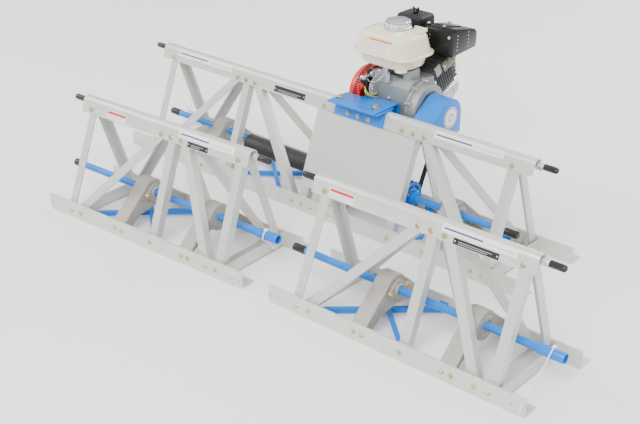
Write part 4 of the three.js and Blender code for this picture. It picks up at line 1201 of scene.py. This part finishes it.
def build_tank():
    """Pressed tank: crowned upper shell, rolled seam, tapered pan, neck, cap and label."""
    cx, cy = TANK_CENTRE
    low, high = (cx - 107.5, cy - 81), (cx + 107.5, cy + 81)
    bm = bmesh.new()
    wall = [(TANK_SEAM - 1, 7), (TANK_SEAM + 2, 8.5), (TANK_SEAM + 14, 11.5), (TANK_SEAM + 42, 18)]
    top = [(TANK_SEAM + 47.5, 19.8), (TANK_SEAM + 52, 22.6), (TANK_SEAM + 55.2, 26.5), (TANK_SEAM + 57, 31)]
    crown = [(TANK_SEAM + 59.5, 41), (TANK_SEAM + 62, 51), (TANK_TOP - 1.2, 61), (TANK_TOP - 0.5, 68)]
    stack(bm, low, high, 38, wall + top + crown, 10)
    stack(
        bm, low, high, 46,
        [(TANK_SEAM - 4.4, 1.4), (TANK_SEAM - 3.6, 0.4), (TANK_SEAM - 2.2, 0), (TANK_SEAM + 0.4, 0),
         (TANK_SEAM + 1.8, 0.6), (TANK_SEAM + 2.6, 2.2), (TANK_SEAM + 2.4, 5)],
        10,
    )
    pan = [(440, 30), (440.6, 24.5), (443, 20), (447, 17.4), (456, 15), (470, 10.5), (TANK_SEAM - 2, 8)]
    stack(bm, low, high, 42, pan, 10)
    turned(bm, [(0, 436.5), (15, 436.5), (18, 439), (18, 448), (0, 448)], (cx + 66, cy - 48, 0),
           (0, 0, 1), 36)
    turned(bm, [(0, 540), (36, 540), (35, 543.5), (31, 545.2), (30, 546), (30, 549.5), (27, 550), (0, 550)],
           (cx + 8, cy + 8, 0), (0, 0, 1), 64)
    pad = bmesh.new()
    dimple = at(cx + 66, cy + 26, 538.5) @ Matrix.Rotation(0.2, 4, "Z") @ Matrix.Diagonal((21, 12, 4.4, 1))
    bmesh.ops.create_uvsphere(pad, u_segments=36, v_segments=14, radius=1, matrix=dimple)
    take(bm, pad)
    block(bm, (cx + 30, cy + 52, 530), (cx + 74, cy + 62, 541), 3.5, 4)
    piece("tank_shell", bm, "cream", "power_section", "power", ("fuel_tank",), sharp=50)
    bm = bmesh.new()
    cap = bmesh.new()
    bmesh.ops.create_circle(cap, cap_ends=True, segments=96, radius=40, matrix=at(0, 0, 544.6))
    face = cap.faces[:][0]
    for height, reach in ((547.2, 40), (548.4, 38.6), (549.4, 37.4), (551, 37.2), (559.5, 37.2),
                          (562.6, 36.2), (564.6, 33.6), (565.4, 30), (565.8, 22), (566.4, 17), (567, 10)):
        made = bmesh.ops.extrude_face_region(cap, geom=[face])["geom"]
        moved = [g for g in made if isinstance(g, bmesh.types.BMVert)]
        face = next(g for g in made if isinstance(g, bmesh.types.BMFace))
        for vert in moved:
            a = math.atan2(vert.co.y, vert.co.x)
            scallop = 1 - (0.075 * max(0, math.cos(9 * a)) ** 2 if 549 < height < 565 else 0)
            vert.co = Vector((reach * scallop * math.cos(a), reach * scallop * math.sin(a), height))
    bmesh.ops.translate(cap, verts=cap.verts, vec=(cx + 8, cy + 8, 0))
    take(bm, cap)
    piece("tank_cap", bm, "chrome", "cap", "power", ("fuel_cap",), sharp=28)
    bm = bmesh.new()
    wall_lean = 9.5 / 40

    def front(x, z, lift):
        return Vector((x, cy - 81 + 8.5 + (z - TANK_SEAM - 2) * wall_lean - lift, z))

    lines = ((859, 945, 487, 522, 0.5, 0), (860.5, 943.5, 515.5, 520.8, 0.9, 1))
    lines += tuple(
        (862, 940 - (row * 23) % 17, 510 - row * 4.4, 511.1 - row * 4.4, 0.9, 2) for row in range(5)
    )
    for x0, x1, z0, z1, lift, material in lines:
        points = [front(x0, z0, lift), front(x1, z0, lift), front(x1, z1, lift), front(x0, z1, lift)]
        plate(bm, points, (0, -1, wall_lean), 0.35, 0.4, material=material)
    piece("tank_label", bm, "white", "power_section", extra=("orange_print", "grey_print"))


def build_air_cleaner():
    """Air-cleaner box with a dished lid, and the wing nut that holds it."""
    cx, cy = FILTER_CENTRE
    low, high = (cx - 47.5, cy - 40), (cx + 47.5, cy + 40)
    bm = bmesh.new()
    rings = [(471, 4), (472, 1.5), (474, 1), (489, 0.8), (490, 0), (493, 0), (494, 0.8), (539, 1.8)]
    rings += [(544, 2.8), (547.4, 5.0), (549.6, 8.6), (550.5, 13), (550.8, 22)]
    stack(bm, low, high, 11, rings, 6)
    turned(bm, [(14, 549), (14, 549.6), (19, 550.8), (21.5, 552.2), (23.5, 551.6), (25, 549.5), (25, 548)],
           (cx, cy, 0), (0, 0, 1), 48)
    bar(bm, (cx, cy, 548), (cx, cy, 556), 2.9, 16)
    piece("filter_box", bm, "moulded", "power_section", "power", ("air_cleaner",),
          sharp=45)
    bm = bmesh.new()
    turned(bm, [(3.6, 552.8), (8.5, 552.8), (9, 553.6), (7.6, 558), (6.4, 560.5), (3.6, 561)],
           (cx, cy, 0), (0, 0, 1), 32)
    for side in (-1, 1):
        wing = [
            (cx + side * 3.4, cy - 1.3, 554), (cx + side * 9, cy - 1.3, 555.5),
            (cx + side * 12, cy - 1.3, 562), (cx + side * 11.2, cy - 1.3, 567.5),
            (cx + side * 7.2, cy - 1.3, 569), (cx + side * 4.2, cy - 1.3, 563),
        ]
        plate(bm, wing, (0, 1, 0), 2.6, 1.6, 0.7, 4)
    turned(bm, [(0, 556.5), (2.8, 556.5), (2.8, 563), (0, 564)], (cx, cy, 0), (0, 0, 1), 20)
    piece("wing_nut", bm, "black", "filter_nut", "power", ("air_cleaner_nut",))


def build_muffler():
    """Silencer under a perforated heat shield, its elbow and flange."""
    x0, x1 = MUFFLER_X
    y0, y1 = MUFFLER_Y
    z0, z1 = MUFFLER_Z
    profile = [
        (y0, z0 + 4), (y0 + 4, z0), (y1 - 6, z0 + 6), (y1, z0 + 14), (y1, z1 - 32), (y1 - 9, z1 - 22),
        (y0 + 13, z1 - 1), (y0, z1 - 10),
    ]
    bm = bmesh.new()
    plate(bm, [(x0, y, z) for y, z in profile], (1, 0, 0), x1 - x0, 2.5, 5.5, 3)
    rise = (-21) / ((y1 - 9) - (y0 + 13))

    def roof(y, lift=0.0):
        return z1 - 1 + (y - y0 - 13) * rise + lift

    plate(
        bm,
        [(x0 + 12, y0 + 24, roof(y0 + 24, -0.5)), (x1 - 34, y0 + 24, roof(y0 + 24, -0.5)),
         (x1 - 34, y1 - 30, roof(y1 - 30, -0.5)), (x0 + 12, y1 - 30, roof(y1 - 30, -0.5))],
        (0, 0.18, 1), 3.0, 9, 1.2, 5,
    )
    for x, y in ((x0 + 5, y0 + 12), (x1 - 40, y0 + 12), (x0 + 12, y1 - 18)):
        bar(bm, (x, y, roof(y) - 4), (x, y, roof(y) + 1.0), 7, 24, 6.2, 0.6)
    piece("silencer_shield", bm, "black", "power_section", "power", ("muffler",), sharp=40)
    # The louvres take the greyed enamel: painted highlight on them.
    bm = bmesh.new()
    for step in range(12):
        y = y0 + 20 + step * 7.2
        start = Vector((x1 - 16.5, y, roof(y) + 0.2))
        end = Vector((x1 - 2.2, y + 2, roof(y) - 9.5))
        bar(bm, start, end, 1.9, 12)
    piece("silencer_louvres", bm, "louvre", "power_section")
    # Bright machined-metal discs stand where the shield's perforations are: painted highlight in the holes,
    # not open holes.
    bm = bmesh.new()
    for y in (y0 + 24, y0 + 78):
        for step in range(5):
            z = z0 + 18 + step * 10.5
            spot = Vector((x1 - 0.05, y, z))
            turned(bm, [(0, -0.2), (1.5, -0.2), (1.9, 0.2), (0, 0.1)], spot, (1, 0, 0), 14)
    for step in range(4):
        spot = Vector((x0 + 18, y0 + 0.05, z0 + 22 + step * 10.5))
        turned(bm, [(0, -0.2), (1.5, -0.2), (1.9, 0.2), (0, 0.1)], spot, (0, -1, 0), 14)
    piece("silencer_perforation_highlights", bm, "machined", "power_section")
    bm = bmesh.new()
    for x, y in ((x0 + 5, y0 + 12), (x1 - 40, y0 + 12), (x0 + 12, y1 - 18)):
        bolt(bm, at(x, y, roof(y) + 0.6), 8.5, 4, 0, x)
    bolt(bm, Matrix.Translation((x1 - 12, y0 - 0.2, z1 - 24)) @ facing((0, -1, 0)), 8.5, 3.6, 0, 0.3)
    piece("silencer_bolts", bm, "zinc", "power_section")
    bm = bmesh.new()
    swept(
        bm,
        [(1018, 237, 474), (1018, 237, 462), (1018.5, 236, 448), (1014, 232, 434), (1004, 229, 424),
         (994, 227, 418)],
        11.5,
        24,
    )
    plate(bm, [(1000.5, 206, 424), (1000.5, 232, 446), (1000.5, 252, 424), (1000.5, 226, 402)],
          (1, 0, 0), 5, 7, 1.2, 5)
    turned(bm, [(11, 0), (14, 0.4), (14, 4), (11, 4.4)], (1018, 237, 456), (0, 0, 1), 36)
    piece("exhaust_elbow", bm, "exhaust", "power_section")
    bm = bmesh.new()
    for y, z in ((214, 424), (243, 424)):
        bolt(bm, Matrix.Translation((1005.5, y, z)) @ facing((1, 0, 0)), 9, 6, 0, 0.5)
    piece("exhaust_nuts", bm, "zinc", "power_section")


def build_recoil():
    """Recoil starter: pressed cover with a mesh rim, its rope and its grip."""
    x = Vector((1, 0, 0))
    bm = bmesh.new()
    turned(
        bm,
        [
            (0, 784), (26, 784), (28, 786), (30, 788), (33, 786.5), (36, 784.4), (42, 784), (58, 787),
            (66, 790), (74, 795), (78, 799), (80, 804), (82, 812), (86, 815), (88, 817), (88, 843),
            (86, 845), (60, 845), (0, 845),
        ],
        CRANK,
        x,
        72,
    )
    block(bm, (820, 173, 363), (836, 206.6, 381), 4, 3)
    for step in range(3):
        a = step * 2 * math.pi / 3 + 0.5
        spot = Vector((838, 115 + 84 * math.cos(a), 330 + 84 * math.sin(a)))
        bar(bm, spot, spot + x * 6, 4, 16)
    piece("recoil_housing", bm, "red", "power_section", "power", ("recoil_cover",))
    bm = bmesh.new()
    for step in range(84):
        a = step * math.pi / 42
        way = Vector((0, math.cos(a), math.sin(a)))
        across = Vector((0, -math.sin(a), math.cos(a)))
        start = CRANK + way * 87.6 + x * 821
        slot = [start - across * 2.1, start + across * 2.1, start + across * 2.1 + x * 16,
                start - across * 2.1 + x * 16]
        plate(bm, slot, way, 0.6, 0.9, 0.0, 2)
    for step in range(18):
        a = step * math.pi / 9
        way = Vector((0, math.cos(a), math.sin(a)))
        across = Vector((0, -math.sin(a), math.cos(a)))
        start = CRANK + way * 48 + x * 785.2
        end = CRANK + way * 70 + x * 792.2
        slot = [start - across * 3, end - across * 4, end + across * 4, start + across * 3]
        plate(bm, slot, (-1, 0, 0), 0.9, 2.0, 0.2, 3)
    piece("recoil_mesh", bm, "dark", "power_section")
    bm = bmesh.new()
    stack(bm, (820.5, 218), (835.5, 230.6), 5.5, [(343, 5), (344, 2.2), (347, 0.6), (352, 0), (392, 0),
                                                  (397, 0.6),
                                                 (400, 2.2), (401, 5)], 6)
    turned(bm, [(0, 0), (5.6, 0), (6.4, 2), (6.8, 10), (0, 12)], (828, 207.6, 372), (0, 1, 0), 32)
    for step in range(4):
        z = 350 + step * 13
        block(bm, (819.9, 219.5, z), (836.1, 229, z + 4), 1.0)
    piece("pull_grip", bm, "moulded", "grip", "power", ("starter_grip",))
    bm = bmesh.new()
    bar(bm, (828, 198, 372), (828, 209.4, 372), 2.1, 16)
    loops = sharp_edges(bm.faces, 50)
    bmesh.ops.subdivide_edges(bm, edges=[e for e in bm.edges if e not in loops], cuts=14)
    rope = piece("starter_rope", bm, "nylon", None)
    start, end = PLACE["power"] @ Vector((828, 200, 372)), PLACE["power"] @ Vector((828, 208, 372))
    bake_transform(rope)


def build_controls():
    """Carburettor, governor arm, control box with its lever and switch, wires and springs."""
    x = Vector((1, 0, 0))
    bm = softened("carburettor", 2.0, 35, 3)
    piece("carburettor_body", bm, "die_cast", "power_section", "row", ("carburettor",))
    bm = bmesh.new()
    stack(bm, (847, 25.5), (876.5, 58.4), 5, [(362.4, 2), (364, 0.4), (366, 0), (394, 0), (396.6, 0.8),
                                              (397.8, 3)], 5)
    stack(bm, (860.2, 40), (871.4, 58.4), 3, [(395, 1), (396, 0), (423, 0), (425, 1.4)], 5)
    turned(bm, [(10.5, 0), (11.4, 0.6), (11.4, 1.6), (10.5, 2)], (857, 26.2, 380), (0, -1, 0), 36)
    piece("switch_box", bm, "moulded", "power_section", "power", ("control_box",))
    bm = bmesh.new()
    turned(bm, [(0, 0), (9.2, 0), (9.2, 8), (8, 10.5), (0, 11.5)], (857, 24.2, 380), (0, -1, 0), 40)
    block(bm, (854.2, 6.4, 371.4), (859.8, 16, 388.6), 1.8, 3)
    piece("switch_knob", bm, "red_plastic", "switch", "power", ("engine_switch",))
    bm = bmesh.new()
    turned(bm, [(0, 872.6), (8, 872.6), (9, 873.4), (9, 878.6), (8, 879.4), (0, 879.4)], (0, 49, 414), x,
           32)
    plate(bm, [(873.4, 49, 409.6), (873.4, 9, 411), (873.4, 5, 414), (873.4, 9, 417),
               (873.4, 49, 418.4)], x, 3.2, 1.4, 0.5)
    turned(bm, [(0, 868), (5.2, 868), (6, 869), (6, 883), (5.2, 884), (0, 884)], (0, 7, 414), x, 28)
    piece("lever_arm", bm, "zinc", "lever", "power", ("throttle_lever",))
    bm = bmesh.new()
    turned(bm, [(0, 884.5), (20, 884.5), (20.8, 885.3), (20.8, 886.3), (20, 887), (12, 887), (11, 889),
                (0, 889)],
           (0, 44, 372), x, 48)
    plate(bm, [(884, 24, 350), (884, 64, 350), (884, 64, 404), (884, 40, 404), (884, 24, 388)], x, 2, 5,
          0.5)
    plate(bm, [(884, 58, 392), (930, 58, 392), (930, 58, 430), (884, 58, 430)], (0, 1, 0), 2, 6, 0.5)
    bar(bm, (925, 52, 420), (925, 52, 444), 3, 20)
    plate(bm, [(899, 56, 404), (915, 56, 404), (924, 56, 446), (912, 56, 450)], (0, 1, 0), 2.2, 5, 0.5)
    piece("control_brackets", bm, "zinc", "power_section")
    bm = bmesh.new()
    for y, z in ((36, 382), (54, 364), (36, 362)):
        bolt(bm, Matrix.Translation((887, y, z)) @ facing(x), 7, 3, 0, y)
    for px, pz in ((896, 398), (920, 398), (920, 424)):
        bolt(bm, Matrix.Translation((px, 58, pz)) @ facing((0, -1, 0)), 8, 4, 0, px)
    piece("control_bolts", bm, "brass_zinc", "power_section")
    bm = bmesh.new()
    springs = (
        (14, Vector((889, 50, 408)), Vector((913, 53, 436))),
        (10, Vector((926, 50, 440)), Vector((896, 52, 420))),
    )
    for turns, start, end in springs:
        run = end - start
        place = Matrix.Translation(start) @ facing(run)
        coil = []
        for step in range(turns * 8 + 1):
            a = step * math.pi / 4
            coil.append(place @ Vector((2.4 * math.cos(a), 2.4 * math.sin(a),
                                        run.length * step / (turns * 8))))
        swept(bm, coil, 0.45, 4)
    swept(bm, [(874, 30, 404), (880, 26, 398), (890, 30, 396), (905, 44, 402), (925, 52, 430)], 0.9, 6)
    piece("springs_and_rods", bm, "zinc", "power_section")
    bm = bmesh.new()
    swept(bm, [(868, 26, 372), (874, 18, 364), (882, 20, 358), (888, 34, 356), (892, 52, 360)], 1.5, 8)
    swept(bm, [(868, 26, 380), (878, 14, 376), (886, 16, 366), (890, 34, 350), (890, 54, 346)], 1.5, 8)
    block(bm, (826, 118, 418), (842, 140, 424), 1.5)
    piece("switch_wires", bm, "yellow", "power_section")
    bm = bmesh.new()
    swept(bm, [(862, 150, 441), (862, 152, 428), (864, 172, 414), (866, 196, 404), (866, 208, 400)], 3.2,
          10)
    piece("fuel_line", bm, "rubber", "power_section")


# ------------------------------------------------------------------ stage


def build_stage():
    """Plain pale floor, soft lights and the camera."""
    scene = bpy.context.scene
    user = scene.screed
    bm = bmesh.new()
    bmesh.ops.create_grid(bm, x_segments=4, y_segments=4, size=14)
    mesh = bpy.data.meshes.new("floor")
    bm.to_mesh(mesh)
    bm.free()
    floor = bpy.data.objects.new("floor", mesh)
    scene.collection.objects.link(floor)
    cover = Finish("pale floor")
    tone = cover.noise(3, 4)
    pale = cover.mix(tone, (0.94, 0.94, 0.94, 1), (0.97, 0.97, 0.97, 1))
    cover.set(Base_Color=pale, Roughness=0.75 + tone * 0.05)
    floor.data.materials.append(cover.material)

    world = bpy.data.worlds.new("studio")
    scene.world = world
    world.use_nodes = True
    nodes, links = world.node_tree.nodes, world.node_tree.links
    way = nodes.new("ShaderNodeTexCoord")
    parts = nodes.new("ShaderNodeSeparateXYZ")
    sky = nodes.new("ShaderNodeValToRGB")
    sky.color_ramp.elements[0].color = (0.42, 0.42, 0.42, 1)
    sky.color_ramp.elements[1].position = 0.75
    sky.color_ramp.elements[1].color = (1, 1, 1, 1)
    links.new(way.outputs["Generated"], parts.inputs[0])
    links.new(parts.outputs["Z"], sky.inputs[0])
    links.new(sky.outputs[0], nodes["Background"].inputs["Color"])
    nodes["Background"].inputs["Strength"].default_value = user.sky_strength
    for name, place, size, power in (
        ("key light", (1.6, -3.4, 3.6), 2.6, 1.0),
        ("left fill", (-3.6, -1.6, 2.6), 3.0, 0.45),
        ("back light", (0.8, 3.6, 2.8), 3.0, 0.5),
    ):
        lamp = bpy.data.lights.new(name, "AREA")
        lamp.shape = "DISK"
        lamp.size = size
        lamp.energy = power * user.light_power
        holder = bpy.data.objects.new(name, lamp)
        holder.location = place
        holder.rotation_euler = (Vector((0, 0, 0.25)) - Vector(place)).to_track_quat("-Z", "Y").to_euler()
        scene.collection.objects.link(holder)

    eye = bpy.data.cameras.new("camera")
    eye.lens = user.lens
    eye.sensor_width = 36
    eye.dof.use_dof = False
    holder = bpy.data.objects.new("camera", eye)
    holder.location = (1.89265, -2.25168, 1.5332)
    turn = Matrix.Rotation(math.radians(41.0), 4, "Z") @ Matrix.Rotation(math.radians(90 - 26.69), 4, "X")
    holder.rotation_euler = (turn @ Matrix.Rotation(math.radians(user.roll), 4, "Z")).to_euler()
    scene.collection.objects.link(holder)
    scene.camera = holder


# ------------------------------------------------------------------ the add-on


class ScreedSettings(bpy.types.PropertyGroup):
    """Sizes and colours a user would change."""

    mill_colour: bpy.props.FloatVectorProperty(
        name="Mill aluminium", description="Colour of the bare extrusions", subtype="COLOR", size=3,
        min=0, max=1, default=(0.66, 0.67, 0.62),
    )
    mill_roughness: bpy.props.FloatProperty(
        name="Mill roughness", description="How dull the extrusions are", min=0, max=1, default=0.42,
        subtype="FACTOR",
    )
    blue_colour: bpy.props.FloatVectorProperty(
        name="Blue paint", description="Colour of the painted steel", subtype="COLOR", size=3,
        min=0, max=1, default=(0.0, 0.19, 0.70),
    )
    tank_colour: bpy.props.FloatVectorProperty(
        name="Tank paint", description="Colour of the fuel tank", subtype="COLOR", size=3,
        min=0, max=1, default=(0.86, 0.80, 0.60),
    )
    sky_strength: bpy.props.FloatProperty(
        name="Surround", description="Strength of the white surround", min=0, max=5, default=1.45,
    )
    light_power: bpy.props.FloatProperty(
        name="Lamp power", description="Power of the key light, which the others follow", min=0, max=1000,
        default=230, unit="POWER",
    )
    lens: bpy.props.FloatProperty(
        name="Lens", description="Focal length of the camera", min=10, max=200, default=64.56,
        unit="CAMERA",
    )
    roll: bpy.props.FloatProperty(
        name="Roll", description="Turn of the camera about its own line of sight, in degrees", min=-5,
        max=5, default=0.33,
    )


class AddStage(bpy.types.Operator):
    """Plain pale floor, soft lights and the camera."""

    bl_idname = "screed.stage"
    bl_label = "Stage"

    def execute(self, context):
        build_stage()
        return {"FINISHED"}


class AddRails(bpy.types.Operator):
    """Finishes on the flat-faced pieces that keep their own shape."""

    bl_idname = "screed.rails"
    bl_label = "Blades and Braces"

    def execute(self, context):
        build_rails()
        return {"FINISHED"}


class AddChords(bpy.types.Operator):
    """Half-round extrusions with two flared flanges, drawn as one line and given a wall."""

    bl_idname = "screed.chords"
    bl_label = "Chords"

    def execute(self, context):
        build_chords()
        return {"FINISHED"}


class AddTieRods(bpy.types.Operator):
    """Rods through the chords: nuts, a round coupler and vinyl caps on their ends."""

    bl_idname = "screed.tie_rods"
    bl_label = "Tie Rods"

    def execute(self, context):
        build_tie_rods()
        return {"FINISHED"}


class AddShafts(bpy.types.Operator):
    """Painted shafts with vinyl caps and, on the extensions, a socket sleeve."""

    bl_idname = "screed.shafts"
    bl_label = "Shafts"

    def execute(self, context):
        build_shafts()
        return {"FINISHED"}


class AddCastings(bpy.types.Operator):
    """Bearing yokes: cast bodies with a machined ring and, on one hand, a bolted bearing flange."""

    bl_idname = "screed.castings"
    bl_label = "Bearing Castings"

    def execute(self, context):
        build_castings()
        return {"FINISHED"}


class AddFasteners(bpy.types.Operator):
    """Hex bolts and washers along the blades and chords, and the panel's screws."""

    bl_idname = "screed.fasteners"
    bl_label = "Bolts and Screws"

    def execute(self, context):
        build_fasteners()
        return {"FINISHED"}


class AddLabels(bpy.types.Operator):
    """Plain printed patches and black riveted plates, with nothing written on them."""

    bl_idname = "screed.labels"
    bl_label = "Plain Labels"

    def execute(self, context):
        build_labels()
        return {"FINISHED"}


class AddStraps(bpy.types.Operator):
    """Nylon straps that hold the extensions' shafts to their frames."""

    bl_idname = "screed.straps"
    bl_label = "Nylon Straps"

    def execute(self, context):
        build_straps()
        return {"FINISHED"}


class AddGuard(bpy.types.Operator):
    """The guard tube that hangs on the shaft behind the panel."""

    bl_idname = "screed.guard"
    bl_label = "Guard Tube"

    def execute(self, context):
        build_guard()
        return {"FINISHED"}


class AddMounting(bpy.types.Operator):
    """The saddle over the chord and the plate that carries the engine."""

    bl_idname = "screed.mounting"
    bl_label = "Engine Mounting"

    def execute(self, context):
        build_mounting()
        return {"FINISHED"}


class AddDrive(bpy.types.Operator):
    """Driven pulley with its bushing, belt, clutch and the hood over them."""

    bl_idname = "screed.drive"
    bl_label = "Belt Drive"

    def execute(self, context):
        build_drive()
        return {"FINISHED"}


class AddCrankcase(bpy.types.Operator):
    """Crankcase, drive-side cover with its gasket, bolts, ribs and dipstick."""

    bl_idname = "screed.crankcase"
    bl_label = "Crankcase"

    def execute(self, context):
        build_crankcase()
        return {"FINISHED"}


class AddCylinder(bpy.types.Operator):
    """Finned barrel, head, valve cover, shroud sheet, plug lead and head bolts."""

    bl_idname = "screed.cylinder"
    bl_label = "Cylinder"

    def execute(self, context):
        build_cylinder()
        return {"FINISHED"}


class AddTank(bpy.types.Operator):
    """Pressed tank: crowned upper shell, rolled seam, tapered pan, neck, cap and label."""

    bl_idname = "screed.tank"
    bl_label = "Fuel Tank"

    def execute(self, context):
        build_tank()
        return {"FINISHED"}


class AddAirCleaner(bpy.types.Operator):
    """Air-cleaner box with a dished lid, and the wing nut that holds it."""

    bl_idname = "screed.air_cleaner"
    bl_label = "Air Cleaner"

    def execute(self, context):
        build_air_cleaner()
        return {"FINISHED"}


class AddMuffler(bpy.types.Operator):
    """Silencer under a perforated heat shield, its elbow and flange."""

    bl_idname = "screed.muffler"
    bl_label = "Silencer"

    def execute(self, context):
        build_muffler()
        return {"FINISHED"}


class AddRecoil(bpy.types.Operator):
    """Recoil starter: pressed cover with a mesh rim, its rope and its grip."""

    bl_idname = "screed.recoil"
    bl_label = "Recoil Starter"

    def execute(self, context):
        build_recoil()
        return {"FINISHED"}


class AddControls(bpy.types.Operator):
    """Carburettor, governor arm, control box with its lever and switch, wires and springs."""

    bl_idname = "screed.controls"
    bl_label = "Controls"

    def execute(self, context):
        build_controls()
        return {"FINISHED"}


OPERATORS = (
    AddStage,
    AddRails,
    AddChords,
    AddTieRods,
    AddShafts,
    AddCastings,
    AddFasteners,
    AddLabels,
    AddStraps,
    AddGuard,
    AddMounting,
    AddDrive,
    AddCrankcase,
    AddCylinder,
    AddTank,
    AddAirCleaner,
    AddMuffler,
    AddRecoil,
    AddControls,
)


class ScreedPanel(bpy.types.Panel):
    """Lists the settings and the pieces."""

    bl_idname = "VIEW3D_PT_screed"
    bl_label = "Truss Screed"
    bl_space_type = "VIEW_3D"
    bl_region_type = "UI"
    bl_category = "Screed"

    def draw(self, context):
        for name in ScreedSettings.__annotations__:
            self.layout.prop(context.scene.screed, name)
        for operator in OPERATORS:
            self.layout.operator(operator.bl_idname)


def register():
    for each in (ScreedSettings, *OPERATORS, ScreedPanel):
        bpy.utils.register_class(each)
    bpy.types.Scene.screed = bpy.props.PointerProperty(type=ScreedSettings)


def unregister():
    del bpy.types.Scene.screed
    for each in (ScreedPanel, *reversed(OPERATORS), ScreedSettings):
        bpy.utils.unregister_class(each)


def main():
    register()
    for operator in OPERATORS:
        group, action = operator.bl_idname.split(".")
        getattr(getattr(bpy.ops, group), action)()


if __name__ == "__main__":
    main()
